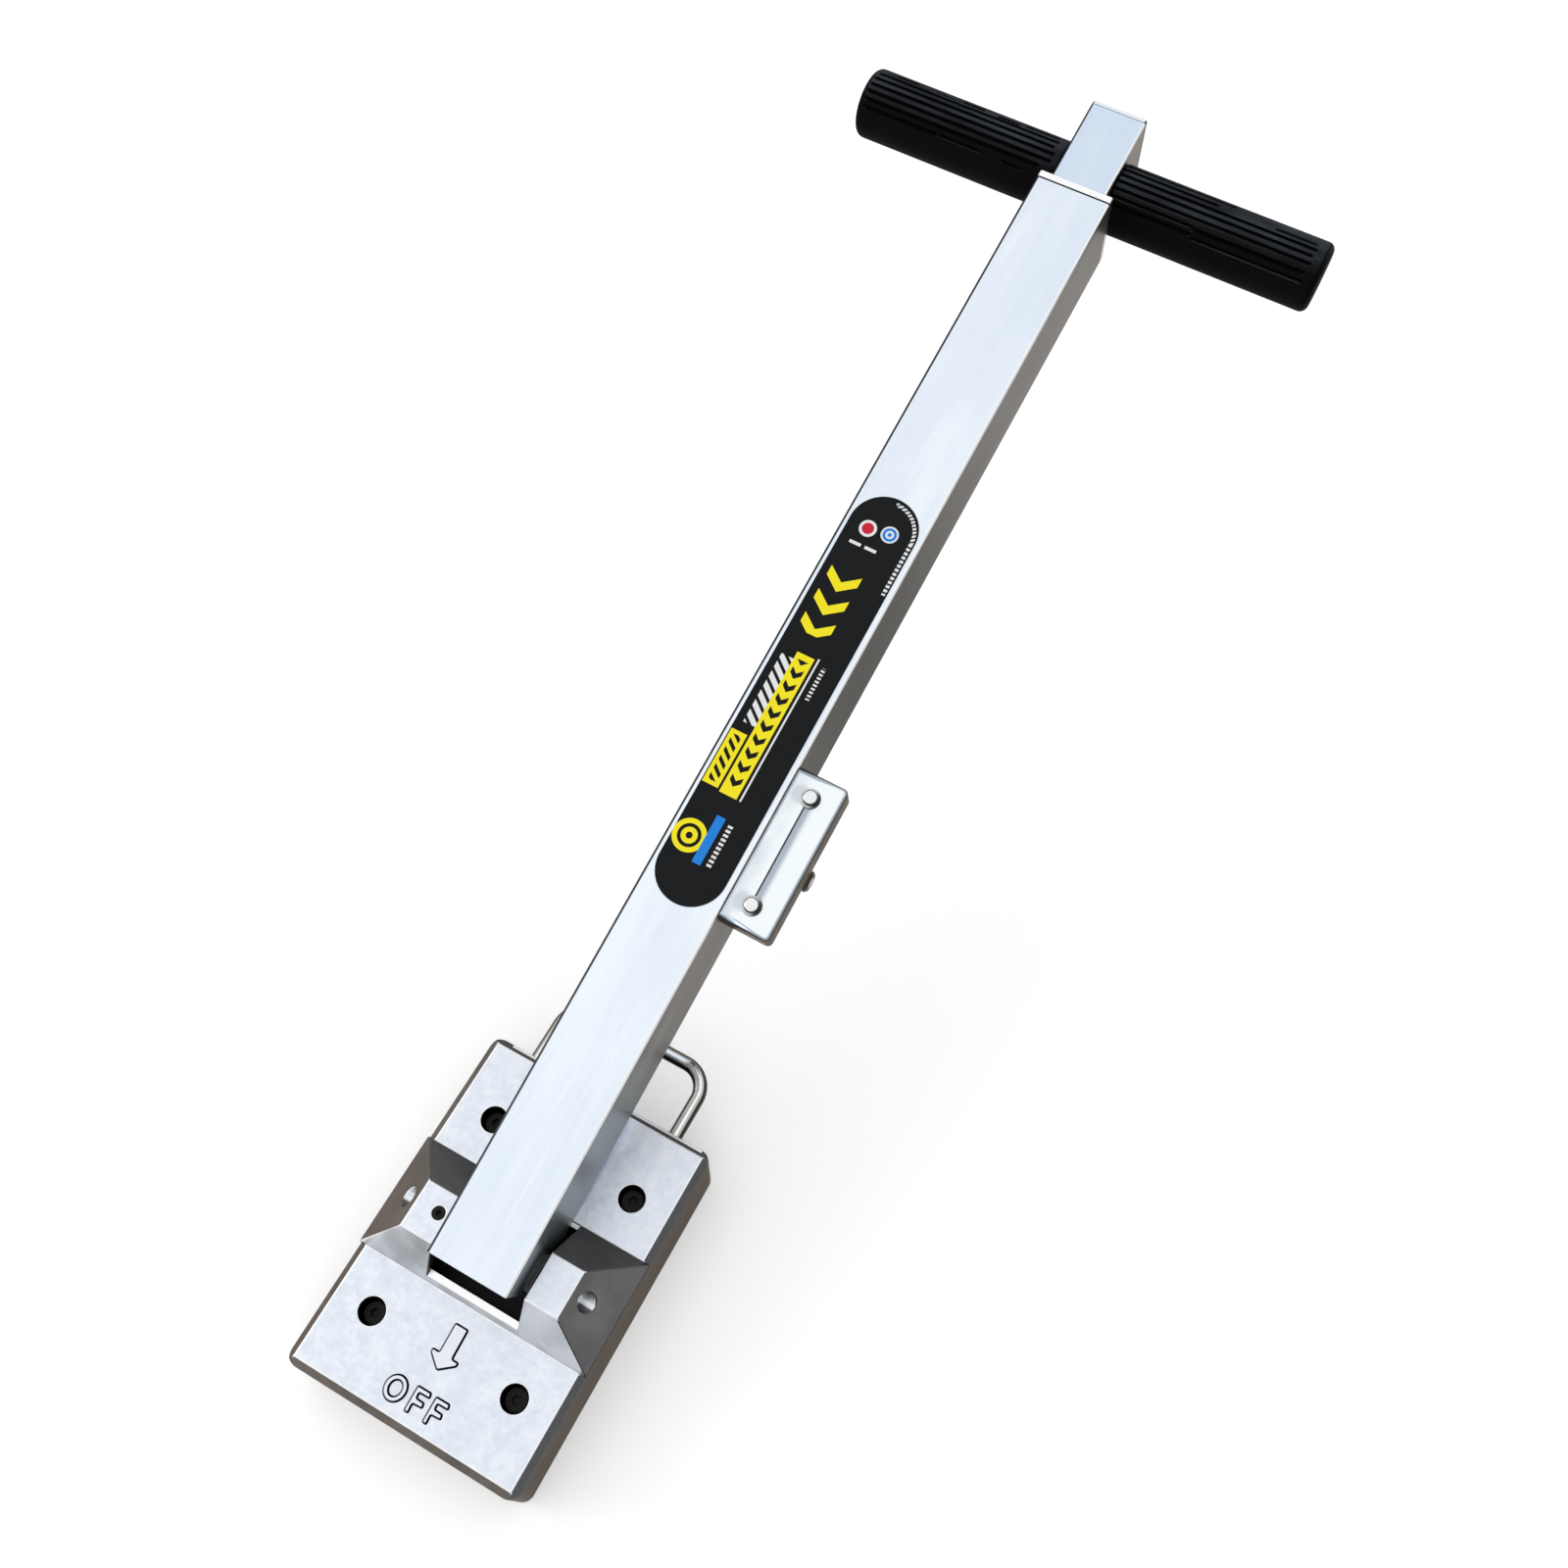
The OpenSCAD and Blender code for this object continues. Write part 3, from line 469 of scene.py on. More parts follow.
def turned_pin(name, node, finish, slot):
    """The pin, turned round X with chamfered, grooved and centre-drilled ends."""
    low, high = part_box(node)
    half, middle = (high.x - low.x) / 2, (low + high) / 2
    rings = [(radius, half * 1000 - depth) for radius, depth in PIN_PROFILE]
    rings += [(radius, -x) for radius, x in reversed(rings)]
    corners, faces = [], []
    for radius, x in rings:
        for i in range(PIN_SIDES):
            angle = math.tau * i / PIN_SIDES
            corners.append((x / 1000, middle.y + radius * math.cos(angle) / 1000,
                            middle.z + radius * math.sin(angle) / 1000))
    for this in range(0, len(corners) - PIN_SIDES, PIN_SIDES):
        after = this + PIN_SIDES
        for i in range(PIN_SIDES):
            j = (i + 1) % PIN_SIDES
            faces.append((this + i, this + j, after + j, after + i))
    faces += [tuple(range(PIN_SIDES)), tuple(range(len(corners) - PIN_SIDES, len(corners)))]
    fitted(name, meshed(name, corners, faces), finish, "base", slot, node)


turned_steel = grained("turned_steel", (60, 900, 900), (0.70, 0.70, 0.69), (0.86, 0.86, 0.86),
                       0.1, 0.12, 0.00002, 2.0, Metallic=1.0)
turned_pin("pin", "pivot_pin", turned_steel, "polished_rod")

# Bushes and spacers
# Black filled nylon bushes carry the foot on the pin, with spacers of the same against the ears.
# The shoe that guides the inner tube is natural nylon.
black_nylon = grained("black_nylon", (1600, 1600, 1600), (0.012, 0.012, 0.013), (0.035, 0.035, 0.036),
                      0.2, 0.45, 0.00005)
for name in ("pivot_bushes", "pivot_washers"):
    dress(nodes[name], black_nylon)
nylon = grained("nylon", (500, 500, 500), (0.74, 0.73, 0.68), (0.84, 0.83, 0.79), 0.15, 0.45, 0.00004,
                **{"Subsurface Weight": 0.1})
dress(nodes["guide_shoe"], nylon)

# Handle tube
# Square-cornered aluminium box section, brushed along its length, its flanks painted darker than its top as
# shade.
# Its foot is plugged by a machined block, held by two screws from below. The pivot lies FOOT mm
# from the tube's end, and the flanks' painted shade is darkest a set distance along, given below in metres.
PIVOT = Vector((0, -0.0011, 0.0624))
LEAN = math.radians(12.1)
FOOT = 11.1
SHADE_MIDDLE = 0.31


def on_handle(across, along, up):
    """A point of the leaning handle, in mm across, along from the tube's end, and up from the pivot."""
    along -= FOOT
    return PIVOT + Vector((across, along * math.cos(LEAN) - up * math.sin(LEAN),
                           along * math.sin(LEAN) + up * math.cos(LEAN))) / 1000


def levelled(along):
    """Where a place along the tube, in mm from its end, lies on the handle once it is turned level."""
    return (along - FOOT) / 1000 + PIVOT.y


def brushed(name, top_low, top_high, flank_low, flank_high):
    """Aluminium brushed along the leaning handle, with flanks painted darker as shade, darkest in a band of
    painted shade, and near the foot painted with the plate's bluish reflection.

    Edges that face right are painted bright as a highlight, and those that face left are painted dark as
    shade.
    """
    finish = Finish(name, Metallic=1.0, **{"Specular Tint": (0.45, 0.44, 0.43)})
    point = finish.place(LEAN, PIVOT)
    lines = finish.speckle(point, (2600, 22, 2600), 3.0, 0.6)
    streaks = finish.speckle(point, (520, 7, 520), 3.0, 0.6)
    clouds = finish.speckle(point, (45, 8, 45), 3.0, 0.6)
    length = finish.split(point)[1]
    facing_right = finish.facing()[0]
    facing_left = facing_right * -1
    # Random tone on the top, darker towards the tube's upper end.
    top_tone = lines * 0.4 + clouds * 0.6 - length.ramp(0.42, 0.57) * 0.14
    top = finish.mix(top_tone.ramp(0.3, 0.7), top_low, top_high)
    # Edges that face right are painted bright as a highlight.
    top = finish.mix(facing_right.ramp(0.1, 0.35), top, (0.99, 0.99, 0.99))
    # The flanks are painted darker than the top as shade.
    worn_side = lines * 0.4 + streaks * 0.15 + clouds * 0.45
    side = finish.mix(worn_side.ramp(0.25, 0.75), flank_low, flank_high)
    # Painted shade on the flanks, darkest in a band around the set distance.
    mid_shade = 1 - (abs(length - SHADE_MIDDLE) * 6.5).ramp(0.1, 1.0)
    side = finish.mix(mid_shade, side, tuple(part * 0.55 for part in flank_low))
    # Near the foot the flanks are painted with the plate's bluish reflection.
    side = finish.mix((1 - length.ramp(0.05, 0.13)) * 0.9, side, (0.50, 0.56, 0.60))
    # Edges that face left are painted dark as shade.
    side = finish.mix(facing_left.between(0.01, 0.97), side, (0.05, 0.055, 0.062))
    flank = facing_right.ramp(0.85, 0.99).at_least(facing_left.ramp(0.02, 0.2))
    finish.feed({"Base Color": finish.mix(flank, top, side), "Roughness": lines * 0.14 + clouds * 0.1 + 0.22})
    finish.bump(lines + streaks * 0.25, 0.00003, 0.6)
    return finish


tube_brushed = brushed("tube_brushed", (0.74, 0.82, 0.92), (0.88, 0.935, 0.99),
                       (0.215, 0.206, 0.196), (0.40, 0.384, 0.366))
eased("tube", "outer_tube", 0.0004, tube_brushed, "brushed_tube", sharp=40)
plain_aluminium = grained("plain_aluminium", (1800, 200, 200), (0.58, 0.59, 0.61), (0.7, 0.71, 0.73),
                          0.2, 0.28, 0.00003, Metallic=1.0)
for name in ("pivot_block", "cross_bar"):
    dress(nodes[name], plain_aluminium)

# Mouth collar
# A machined aluminium ring plugged into the tube's mouth, which guides the inner tube.
# A dark seam shows where it meets the tube, TUBE_TOP mm along from the tube's end.
TUBE_TOP = 583.95
collar_bright = Finish("collar_bright", Metallic=1.0)
point = collar_bright.place(LEAN, PIVOT)
grain = collar_bright.speckle(point, (900, 200, 900))
seam = collar_bright.split(point)[1] < levelled(TUBE_TOP + 0.75)
# Faces that look up are painted bright as light, and those that look sideways darker as shade.
lit_and_shaded = collar_bright.mix(collar_bright.facing()[2].ramp(0.5, 0.9), (0.42, 0.40, 0.38), (0.96, 0.97, 0.98))
collar_bright.feed({
    "Base Color": collar_bright.mix(seam, lit_and_shaded, (0.03, 0.026, 0.022)),
    "Roughness": grain * 0.12 + 0.22,
})
collar_bright.bump(grain, 0.00002)
eased("collar", "mouth_collar", 0.0004, collar_bright, "collar_metal")

# Label
# Black vinyl film stuck on the tube's top, screen printed with plain bars, chevrons and discs.
# It holds no words or numbers. Places of the print are in mm across, and along from the tube's end.
film = Finish("label_film", **{"Specular IOR Level": 0.08})
across, along = film.split(film.place(LEAN, PIVOT))[:2]
across = across * 1000
along = along * 1000 + (1000 * -PIVOT.y + FOOT)
grain = film.speckle(film.place(), (1200, 1200, 1200))
YELLOW, WHITE, BLUE, RED = (0.86, 0.74, 0.02), (0.74, 0.75, 0.76), (0.02, 0.21, 0.68), (0.55, 0.02, 0.04)
INK = (0.008, 0.009, 0.010)


def block(low_a, high_a, low_s, high_s):
    """1 inside a box of the label."""
    return across.between(low_a, high_a) * along.between(low_s, high_s)


def disc(centre_a, centre_s, radius):
    """1 inside a round spot of the label."""
    return ((across - centre_a) ** 2.0 + (along - centre_s) ** 2.0) < radius ** 2


def band(centre_a, centre_s, outer, inner):
    """1 on a flat ring of the label."""
    return disc(centre_a, centre_s, outer) * (1 - disc(centre_a, centre_s, inner))


def repeated(position, pitch, share):
    """1 on that share of each pitch."""
    turns = position / pitch
    return turns.maths("FRACT", turns) < share


chevron = along - abs(across + 2.5) * 0.9
big_chevron = along - abs(across + 5) * 0.75
slant = along + across * 0.8
end_arc = band(0, 378.5, 16.2, 14.4) * (across > 0) * (along > 378.5)
print_layers = [
    (disc(-9, 209, 8), YELLOW), (band(-9, 209, 5.6, 3.9), INK), (disc(-9, 209, 1.6), INK),
    (block(-2.2, 2.2, 199, 223), BLUE), (block(4.6, 7.0, 200, 222) * repeated(along, 2.2, 0.55), WHITE),
    (block(-16.4, -8.2, 234, 262), YELLOW), (block(-14.6, -10, 236, 260) * repeated(slant, 4.6, 0.5), INK),
    (block(-13.2, -5.4, 267, 304) * repeated(slant, 5.2, 0.62), WHITE),
    (block(-7, 2, 233, 308), YELLOW), (block(-5.4, 0.4, 236, 305) * repeated(chevron, 7.2, 0.42), INK),
    (block(3.4, 4.3, 233, 309), WHITE), (block(7.0, 9.0, 289, 306) * repeated(along, 1.9, 0.5), WHITE),
    (block(-13, 3, 318, 366) * big_chevron.between(316, 355) * repeated(big_chevron - 316, 13, 0.4), YELLOW),
    (block(-11.5, -5.5, 367, 368.6), WHITE), (block(-3.5, 2.5, 367, 368.6), WHITE),
    (disc(-6.5, 377, 4.3), WHITE), (disc(-6.5, 377, 2.9), RED),
    (disc(4.2, 378.5, 4.3), WHITE), (band(4.2, 378.5, 3.4, 2.1), BLUE), (disc(4.2, 378.5, 1.0), BLUE),
    (end_arc * repeated(along - across * 0.8, 2.3, 0.6), WHITE),
    (block(14.4, 16.2, 350, 378.5) * repeated(along, 2.3, 0.6), WHITE),
]
colour = INK
for mask, ink in print_layers:
    colour = film.mix(mask, colour, ink)
film.feed({"Base Color": colour, "Roughness": grain * 0.1 + 0.32})
film.bump(grain, 0.00001)
dress(nodes["label"], film)

# Latch block and lid
# A zinc plated block bolted beside the tube holds the spring plunger; a pressed sheet lid
# with a folded rim covers it. Sizes are in mm across, and along from the tube's end.
LID_TOP, LID_X, LID_S = 26.9, (20.15, 45.35), (182.6, 260.2)
LID_MIDDLE = sum(LID_S) / 2
SCREW_X, SCREW_REACH = 31.4, 27.5
# Place and size of the painted reflection beside each screw.
REFLECTION_X, REFLECTION_WIDE, REFLECTION_LONG = SCREW_X - 5.9, 5.5, 6.5
SHEET, FOLD, CORNER, SKIRT = 0.7, 1.5, 2.6, 14
CREASE, BEAD_ENDS = 30.7, (196.1, 246.7)
BEAD_DEEP, BEAD_WIDE, RISER = 0.85, 6.6, 0.45
DENT_X, DENT_S, DENT_DEEP = 25, 248.5, 0.25


def facing_off(finish):
    """How squarely the surface faces up off the leaning handle."""
    facing_y, facing_z = finish.facing()[1:]
    return facing_z * math.cos(LEAN) - facing_y * math.sin(LEAN)


def zinc_finish(name, top_low, top_high, shade_and_reflection_tone, flank):
    """Bright zinc plate, clouded from the bath, with a painted reflection beside the screws, and painted
    shade beside the tube, in its bends and on upright faces.
    """
    finish = Finish(name, Metallic=1.0, **{"Specular Tint": GRAZING_TINT})
    point = finish.place(LEAN, PIVOT)
    clouds = finish.speckle(point, (130, 60, 130), 3.0)
    across, along = finish.split(point)[:2]
    # A painted reflection lies on the tube's side of each screw.
    beside = (across * 1000 - REFLECTION_X) / REFLECTION_WIDE
    beyond = (abs(along - levelled(LID_MIDDLE)) * 1000 - SCREW_REACH) / REFLECTION_LONG
    screw_reflection = 1 - (abs(beside) ** 2.0 + abs(beyond) ** 2.0).ramp(0.1, 1.0)
    # Painted shade on the lid beside the tube.
    tube_side_shade = (1 - across.ramp(0.0205, 0.031)) * clouds.ramp(0.3, 0.7) * 0.5
    upward = facing_off(finish)
    top = finish.mix(clouds, top_low, top_high)
    top = finish.mix(tube_side_shade.at_least(screw_reflection * 0.55), top, shade_and_reflection_tone)
    # The bead's slopes and the folds are painted in the shade tone as shade, and upright faces darker still
    # as shade.
    folded = finish.mix(upward.ramp(0.984, 0.9995), shade_and_reflection_tone, top)
    finish.feed({
        "Base Color": finish.mix(upward.ramp(0.55, 0.93), flank, folded),
        "Roughness": clouds * 0.15 + 0.22,
    })
    finish.bump(clouds, 0.00008)
    return finish


def lid_outline(inset):
    """The lid's edge seen from above, round its three folded sides, drawn in by the inset."""
    far_x, low_s, high_s = LID_X[1] - inset, LID_S[0] + inset, LID_S[1] - inset
    turn = CORNER - inset
    points = [(LID_X[0], low_s)]
    for centre_s, start in ((low_s + turn, -90), (high_s - turn, 0)):
        for step in range(7):
            angle = math.radians(start + step * 15)
            points.append((far_x - turn + turn * math.cos(angle), centre_s + turn * math.sin(angle)))
    return points + [(LID_X[0], high_s)]


def pressed(x, s):
    """How far the lid's top is pressed down there: one creased bead between the screws, and a dent."""
    ends = min(1, max(0, (s - BEAD_ENDS[0]) / 1.5)) * min(1, max(0, (BEAD_ENDS[1] - s) / 1.5))
    out = x - CREASE
    bead = max(0, 1 + out / RISER) if out < 0 else max(0, 1 - out / BEAD_WIDE) ** 2
    dent = DENT_DEEP * math.exp(-((x - DENT_X) / 2.2) ** 2 - ((s - DENT_S) / 3.5) ** 2)
    return BEAD_DEEP * bead * ends + dent


zinc_block = zinc_finish("zinc_block", (0.30, 0.30, 0.30), (0.44, 0.44, 0.43), (0.2, 0.2, 0.2),
                         (0.10, 0.09, 0.08))
dress(nodes["latch_block"], zinc_block)
zinc_sheet = zinc_finish("zinc_sheet", (0.86, 0.93, 0.96), (0.95, 0.985, 1.0), (0.40, 0.46, 0.53),
                         (0.115, 0.10, 0.085))
rim = lid_outline(FOLD)
# The sheet's grid lines stand close together along the bead's crease.
grid_x = [21.5 + i for i in range(9)]
grid_x += [30.2, 30.25, 30.4, 30.55, 30.7, 30.85, 31.3, 32, 33, 34, 35, 36, 37, 38, 40, 42]
grid = [(x, 185.5 + i * 1.5) for i in range(49) for x in grid_x]
flat = delaunay_2d_cdt([Vector(p) for p in rim + grid], [], [list(range(len(rim)))], 1, 1e-6)
corners = [on_handle(p.x, p.y, LID_TOP - pressed(p.x, p.y)) for p in flat[0]]
faces = [tuple(face) for face in flat[2]]
above = list(range(len(rim)))
folds = [(FOLD * (1 - math.cos(angle)), FOLD * (1 - math.sin(angle))) for angle in
         [math.radians(15 * step) for step in range(1, 7)]]
for drop, inset in folds + [(SKIRT, 0)]:
    below = list(range(len(corners), len(corners) + len(rim)))
    corners += [on_handle(x, s, LID_TOP - drop) for x, s in lid_outline(inset)]
    faces += [(above[i], below[i], below[i + 1], above[i + 1]) for i in range(len(rim) - 1)]
    above = below
mesh = meshed("lid", corners, faces)
if max(mesh.polygons, key=lambda face: face.area).normal.z < 0:
    mesh.flip_normals()
lid = fitted("lid", mesh, zinc_sheet, "handle", "zinc_sheet", "latch_cover")
sheet = lid.modifiers.new("sheet", "SOLIDIFY")
sheet.thickness = SHEET / 1000
sheet.offset = -1

# Lid screws and washers
# Two bright plated round-headed screws on flat washers clamp the lid to its block.
# Each washer is dark on the side that its head shades; the head is bright from HEAD_UP mm over the pivot.
HEAD_UP = 28.5
bright_screw = Finish("bright_screw", Metallic=1.0)
grain = bright_screw.speckle(bright_screw.place(), (700, 700, 700))
upward = facing_off(bright_screw)
across, height = bright_screw.split(bright_screw.place(LEAN, PIVOT))[::2]
# The washer's outer side is painted dark as the head's shade.
outer_side = (across * 1000 - SCREW_X).ramp(0.4, 3.4)
washer = bright_screw.mix(outer_side, (0.60, 0.61, 0.62), (0.055, 0.05, 0.046))
head = bright_screw.mix(grain, (0.80, 0.81, 0.82), (0.90, 0.91, 0.92))
on_head = ((height - PIVOT.z) * 1000 - HEAD_UP).ramp(-0.5, 0.5)
plated = bright_screw.mix(on_head, washer, head)
# Faces that look sideways are painted dark as shade.
bright_screw.feed({
    "Base Color": bright_screw.mix(upward.ramp(0.72, 0.96), (0.05, 0.048, 0.046), plated),
    "Roughness": grain * 0.1 + 0.13,
})
bright_screw.bump(grain, 0.00003)
eased("cover_screw_pair", "cover_screws", 0, bright_screw, "bright_screw")
eased("cover_washer_pair", "cover_washers", 0.00025, bright_screw, "bright_screw")

# Plunger barrel and knob
# Dark turned steel: the barrel is screwed into the block, and the knob is pinned on the plunger's end.
# The knob's outer end has a centre drilling, painted bright as a highlight.
DIMPLE_RADIUS = 0.0024
dark_steel = Finish("dark_steel", Metallic=1.0)
grain = dark_steel.speckle(dark_steel.place(), (900, 900, 900))
low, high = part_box("plunger_knob")
knob_middle = (low + high) / 2
x, y, z = dark_steel.split(dark_steel.place())
from_axis = (y - knob_middle.y) ** 2.0 + (z - knob_middle.z) ** 2.0
# The centre drilling is painted bright as a highlight.
dimple_highlight = (from_axis < DIMPLE_RADIUS ** 2) * (x > knob_middle.x)
browned = dark_steel.mix(grain, (0.035, 0.025, 0.02), (0.09, 0.07, 0.058))
dark_steel.feed({
    "Base Color": dark_steel.mix(dimple_highlight, browned, (0.95, 0.94, 0.92)),
    "Roughness": grain * 0.15 + 0.28,
})
dark_steel.bump(grain, 0.00004)
eased("barrel", "plunger_barrel", 0.0002, dark_steel, "dark_steel")
eased("knob", "plunger_knob", 0.0004, dark_steel, "dark_steel")

# Inner tube and its cap
# A smaller box section of the same brushed aluminium, which slides in the handle tube.
# A pressed-in aluminium cap with a soft bevel closes its upper end, INNER_TOP mm along like TUBE_TOP.
INNER_TOP, INNER_HALF = 638, 15
inner_brushed = brushed("inner_brushed", (0.64, 0.74, 0.87), (0.76, 0.84, 0.95),
                        (0.30, 0.27, 0.24), (0.41, 0.375, 0.34))
eased("inner_tube_brushed", "inner_tube", 0.0005, inner_brushed, "inner_tube_metal", sharp=40)
cap_bright = Finish("cap_bright", Metallic=1.0)
point = cap_bright.place(LEAN, PIVOT)
grain = cap_bright.speckle(point, (700, 700, 700))
across, along = cap_bright.split(point)[:2]
seam = along < levelled(INNER_TOP + 0.55)
# The corners by the sides are painted dark as shade; faces that look up are painted pale as light, and those
# that look sideways darker as shade.
corner = (abs(across) * 1000 - INNER_HALF).ramp(-1.4, -0.8)
pale = cap_bright.mix(cap_bright.facing()[2].ramp(0.3, 0.6), (0.30, 0.28, 0.26), (0.84, 0.89, 0.95))
seamed = cap_bright.mix(seam, pale, (0.50, 0.55, 0.62))
cap_bright.feed({
    "Base Color": cap_bright.mix(corner, seamed, (0.10, 0.10, 0.105)),
    "Roughness": grain * 0.12 + 0.2,
})
cap_bright.bump(grain, 0.00002)
eased("end_cap", "inner_end_cap", 0.0009, cap_bright, "cap_metal")

# Grips
# Black rubber sleeves with closed ends, pushed over the aluminium cross bar.
# Moulded grooves run along their upper side, some broken or set off by a step; below they are smooth.
BAR = on_handle(0, 606.1, 2.7)
GRIP, SLEEVE_BORE, SLEEVE_DEPTH = 17.5, 12.6, 30
INNER_END, CLOSED_END = 15.3, 127.0
LIP, END_ROUND, RING_STEP = 0.8, 4, 0.8
END_RINGS = ((12.6, 0), (12.2, 0.4), (11.8, 0), (4.0, 0))
GROOVE_WIDE, GROOVE_DEEP = 0.85, 0.95


def rubber_finish(name, shaded, low, high):
    """Black rubber, painted lighter as a highlight where it faces up, mottled there, and near black as shade
    elsewhere.
    """
    finish = Finish(name, **{"Specular IOR Level": 0.02})
    grain = finish.speckle(finish.place(), (900, 900, 900))
    sweat = finish.speckle(finish.place(), (34, 120, 120), 3.0, 0.6)
    facing_y, facing_z = finish.facing()[1:]
    # Faces that look up are painted lighter as a highlight; the rest is painted near black as shade.
    lit_upper = (facing_z + facing_y * 0.25).ramp(0.45, 1.0)
    finish.feed({
        "Base Color": finish.mix(lit_upper, shaded, finish.mix(sweat.ramp(0.3, 0.7), low, high)),
        "Roughness": grain * 0.12 + sweat * 0.1 + 0.5,
    })
    finish.bump(grain, 0.00006)
    return finish


def groove_depth(out, angle, grooves):
    """Depth of the moulded grooves at that many mm out from the tube and degrees from the front.

    Each groove is the degrees at which it lies, and the mm at which it starts and ends.
    """
    depth = 0
    for turn, low, high in grooves:
        side = math.radians(angle - turn) * GRIP
        past = max(low - out, out - high, 0)
        near = math.hypot(side, past) / GROOVE_WIDE
        if near < 1:
            depth = max(depth, GROOVE_DEEP * min(1, 1.6 * (1 - near * near)))
    return depth


def grip_radius(out):
    """Radius of the plain sleeve: a rounded closed end, and a small lip at the tube."""
    left = CLOSED_END - out
    radius = GRIP
    if left < END_ROUND:
        radius = GRIP - END_ROUND + math.sqrt(max(0, END_ROUND ** 2 - (END_ROUND - left) ** 2))
    if out - INNER_END < LIP:
        radius -= LIP - (out - INNER_END)
    return radius


def grip_corner(side, out, radius, angle):
    """Place of one corner of a grip, in mm out from the tube and from the bar's axis, and degrees."""
    turn = math.radians(angle)
    return (side * out / 1000, BAR.y - radius * math.cos(turn) / 1000, BAR.z + radius * math.sin(turn) / 1000)


def moulded_grip(name, side, node, grooves):
    """One sleeve, made ring by ring from the tube out to its closed end."""
    outs = [INNER_END, INNER_END + LIP / 2, INNER_END + LIP] + [16.8 + i * RING_STEP for i in range(133)]
    outs += [CLOSED_END - END_ROUND * (1 - math.sin(math.radians(i * 10))) for i in range(10)]
    # The steps are fine over the grooved side, and coarse round the smooth underside.
    angles = [i * 1.3 + 18 for i in range(113)]
    angles += [angles[-1] + (378 - angles[-1]) * i / 40 for i in range(1, 40)]
    count = len(angles)
    around = [(j, (j + 1) % count) for j in range(count)]
    corners, faces = [], []
    for out in outs:
        plain = grip_radius(out)
        corners += [grip_corner(side, out, plain - groove_depth(out, a, grooves), a) for a in angles]
    for this in range(0, len(corners) - count, count):
        after = this + count
        faces += [(this + j, after + j, after + k, this + k) for j, k in around]
    for radius, dip in END_RINGS:
        this = len(corners)
        corners += [grip_corner(side, CLOSED_END - dip, radius, a) for a in angles]
        faces += [(this - count + j, this + j, this + k, this - count + k) for j, k in around]
    faces.append(tuple(range(len(corners) - count, len(corners))))
    mouth = len(corners)
    for out in (INNER_END, SLEEVE_DEPTH):
        corners += [grip_corner(side, out, SLEEVE_BORE, a) for a in angles]
    faces += [(j, k, mouth + k, mouth + j) for j, k in around]
    faces += [(mouth + j, mouth + k, mouth + count + k, mouth + count + j) for j, k in around]
    mesh = meshed(name, corners, faces)
    # Faces sunk in the grooves take the groove finish, painted near black as shade.
    for face in mesh.polygons:
        x, y, z = face.center
        sunk = math.hypot(y - BAR.y, z - BAR.z) < (GRIP - 0.3) / 1000
        if sunk and abs(x) < (CLOSED_END - 2) / 1000:
            face.material_index = 1
    fitted(name, mesh, rubber, "inner", "grip_rubber", node)
    mesh.materials.append(groove_shade_rubber.material)


rubber = rubber_finish("grip_rubber", (0.0035, 0.0036, 0.004), (0.014, 0.016, 0.019), (0.038, 0.043, 0.051))
# Painted shade for the grooves.
groove_shade_rubber = rubber_finish("groove_shade_rubber", (0.0005, 0.0005, 0.0005), (0.001, 0.001, 0.001),
                              (0.002, 0.002, 0.002))
left_grooves = [(33, 81, 122), (33.5, 56, 78), (31, 33, 43), (46, 25, 122.5), (59, 20, 123), (72, 20, 123),
                (85, 22, 123), (98, 21, 122), (111, 102, 113), (108, 77, 90), (110, 64, 75.5), (106, 44, 55),
                (111, 22, 40), (124, 20, 122), (137, 20, 122), (150, 22, 120)]
right_grooves = [(33, 18, 59), (28, 62, 119), (45, 17, 59), (42, 60.5, 118), (58, 15.8, 119),
                 (71, 15.8, 118.5), (84, 15.8, 119), (97, 15.8, 66), (95, 98, 118), (111, 15.8, 74),
                 (124, 20, 120), (137, 20, 120), (150, 22, 118)]
moulded_grip("grip_left", -1, "left_grip", left_grooves)
moulded_grip("grip_right", 1, "right_grip", right_grooves)

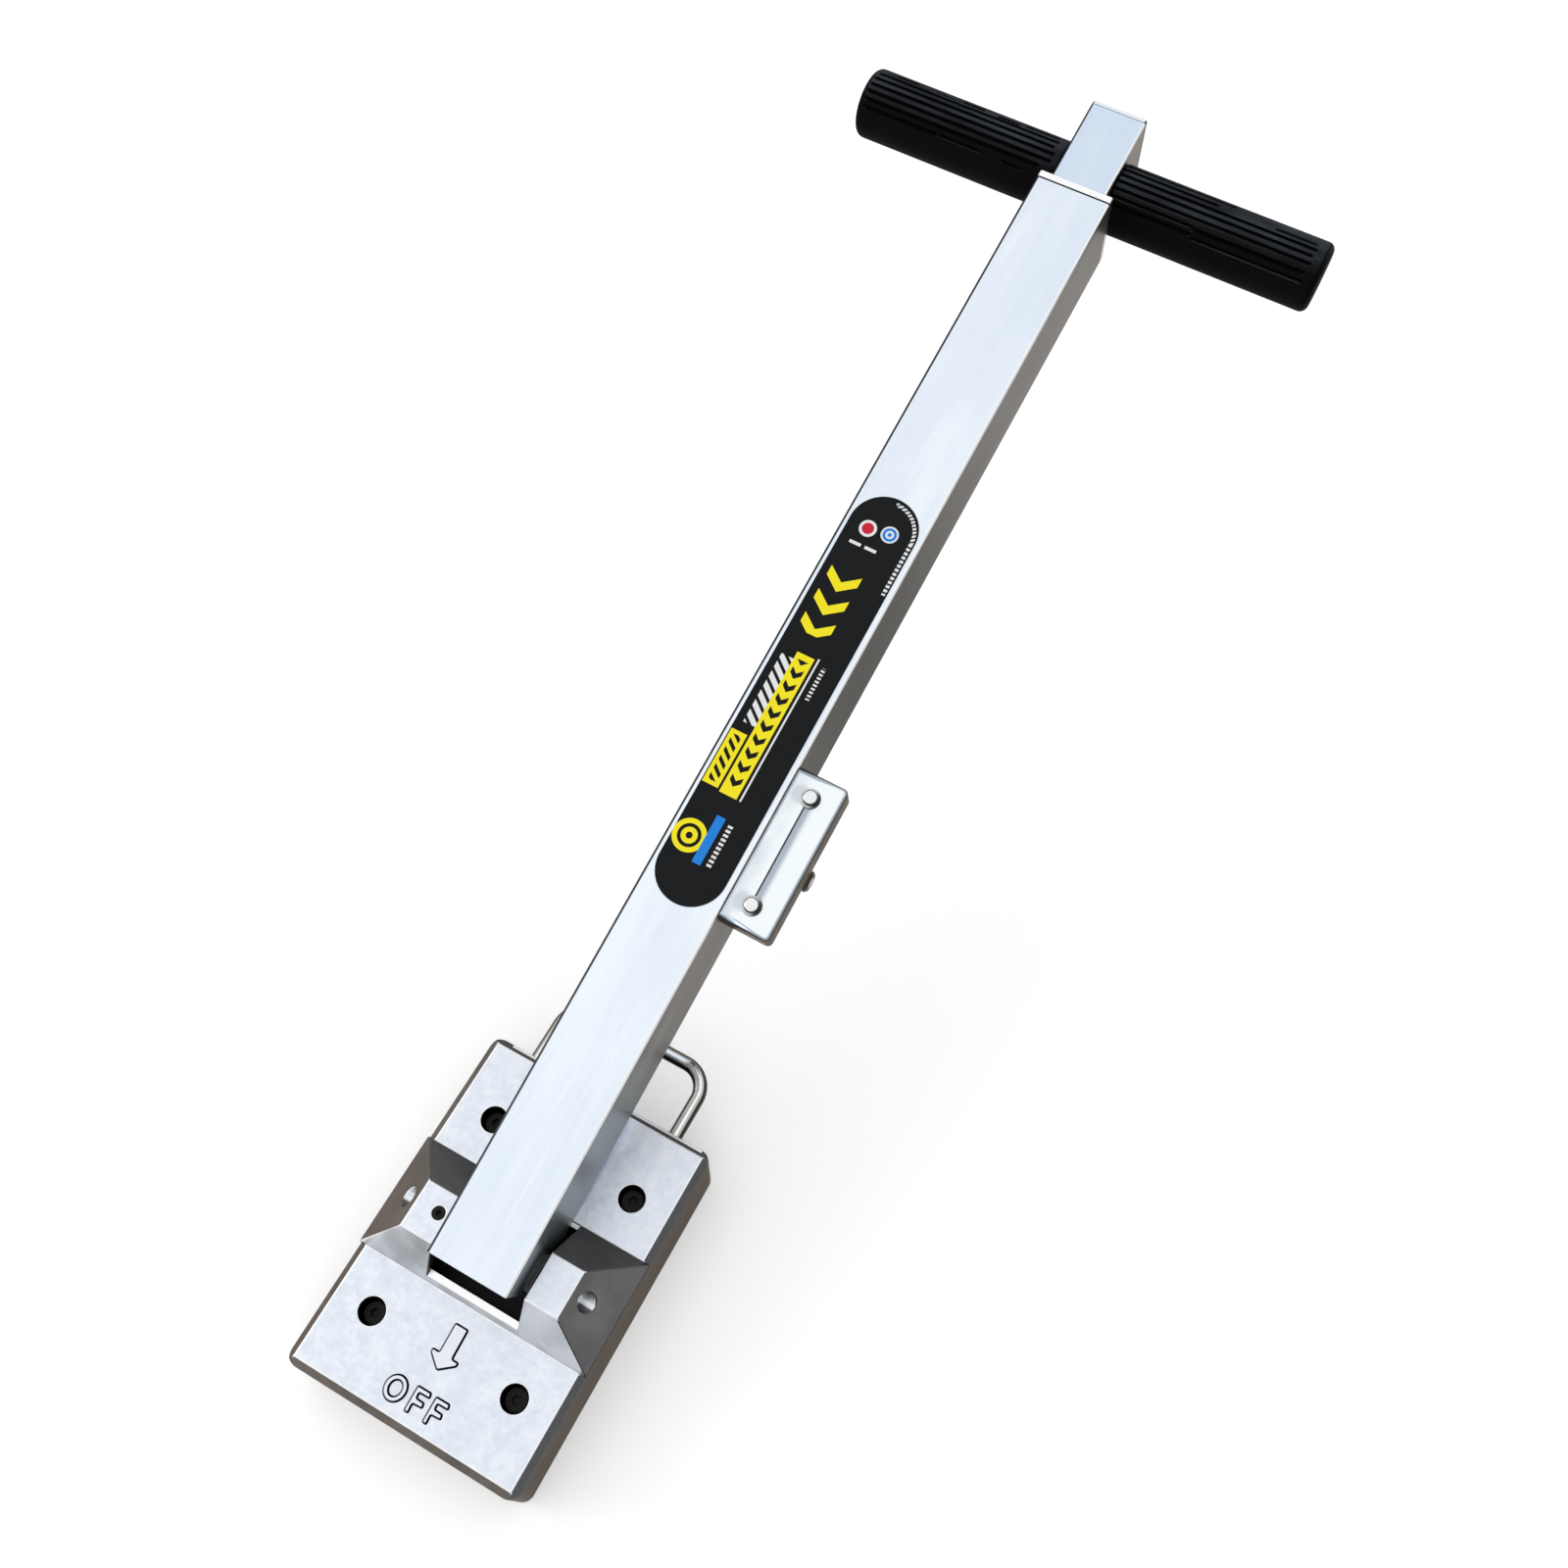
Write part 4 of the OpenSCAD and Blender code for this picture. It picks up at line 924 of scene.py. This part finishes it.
# Studio
# A wide white floor, an even sky that dims towards the horizon and to the latch's side, and one soft lamp.
# The floor shows white to the camera and in reflections, and still takes the object's shadow.
FLOOR_HALF, FLOOR_TOP = 6, -0.0003
white = Finish("studio_white", Roughness=0.9, **{"Specular IOR Level": 0.0, "Emission Strength": 1.0})
rays = [white.node("ShaderNodeLightPath", {}, {}, kind)
        for kind in ("Is Camera Ray", "Is Glossy Ray", "Is Transmission Ray")]
seen = rays[0].at_least(rays[1]).at_least(rays[2])
white.feed({
    "Base Color": (0.93, 0.93, 0.93),
    "Emission Color": white.mix(seen, (0.0, 0.0, 0.0), (0.2, 0.2, 0.2)),
})
mesh = bpy.data.meshes.new("floor")
corners = [(x * FLOOR_HALF, y * FLOOR_HALF, FLOOR_TOP) for x, y in ((-1, -1), (1, -1), (1, 1), (-1, 1))]
mesh.from_pydata(corners, [], [(0, 1, 2, 3)])
floor = bpy.data.objects.new("floor", mesh)
bpy.context.scene.collection.objects.link(floor)
dress(floor, white)


class Sky(Finish):
    """The world's own shader, written with the same wires."""

    def __init__(self, name):
        world = bpy.data.worlds.new(name)
        bpy.context.scene.world = world
        world.use_nodes = True
        self.tree = world.node_tree
        self.shader = self.tree.nodes["Background"]


sky = Sky("studio_sky")
east, north, height = sky.split(sky.node("ShaderNodeTexCoord", {}, {}, "Generated"))
horizon = (0.40 - east * 0.24 - north * 0.14).at_least(0.1)
sky.feed({"Color": (1.0, 1.0, 1.0), "Strength": horizon + (1 - horizon) * height.ramp(0.1, 0.6)})

lamp_data = bpy.data.lights.new("soft_lamp", "AREA")
lamp_data.shape = "RECTANGLE"
lamp_data.size = 1.4
lamp_data.size_y = 1.0
lamp_data.energy = 12
lamp = bpy.data.objects.new("soft_lamp", lamp_data)
lamp.location = (-2.0, -0.6, 1.3)
lamp.rotation_euler = (Vector((0, 0.2, 0)) - lamp.location).to_track_quat("-Z", "Y").to_euler()
bpy.context.scene.collection.objects.link(lamp)

# Camera
# Solved from the photograph's parallel edges: a 35 mm lens that looks steeply down from the right.
lens = bpy.data.cameras.new("camera")
lens.lens = 35.216
lens.sensor_width = 36
lens.clip_start = 0.01
camera = bpy.data.objects.new("camera", lens)
camera.location = (0.15553, -0.04722, 0.75838)
camera.rotation_euler = [math.radians(a) for a in (26.3041, -0.9981, 28.7984)]
bpy.context.scene.collection.objects.link(camera)
bpy.context.scene.camera = camera
bpy.context.scene.view_settings.view_transform = "Standard"
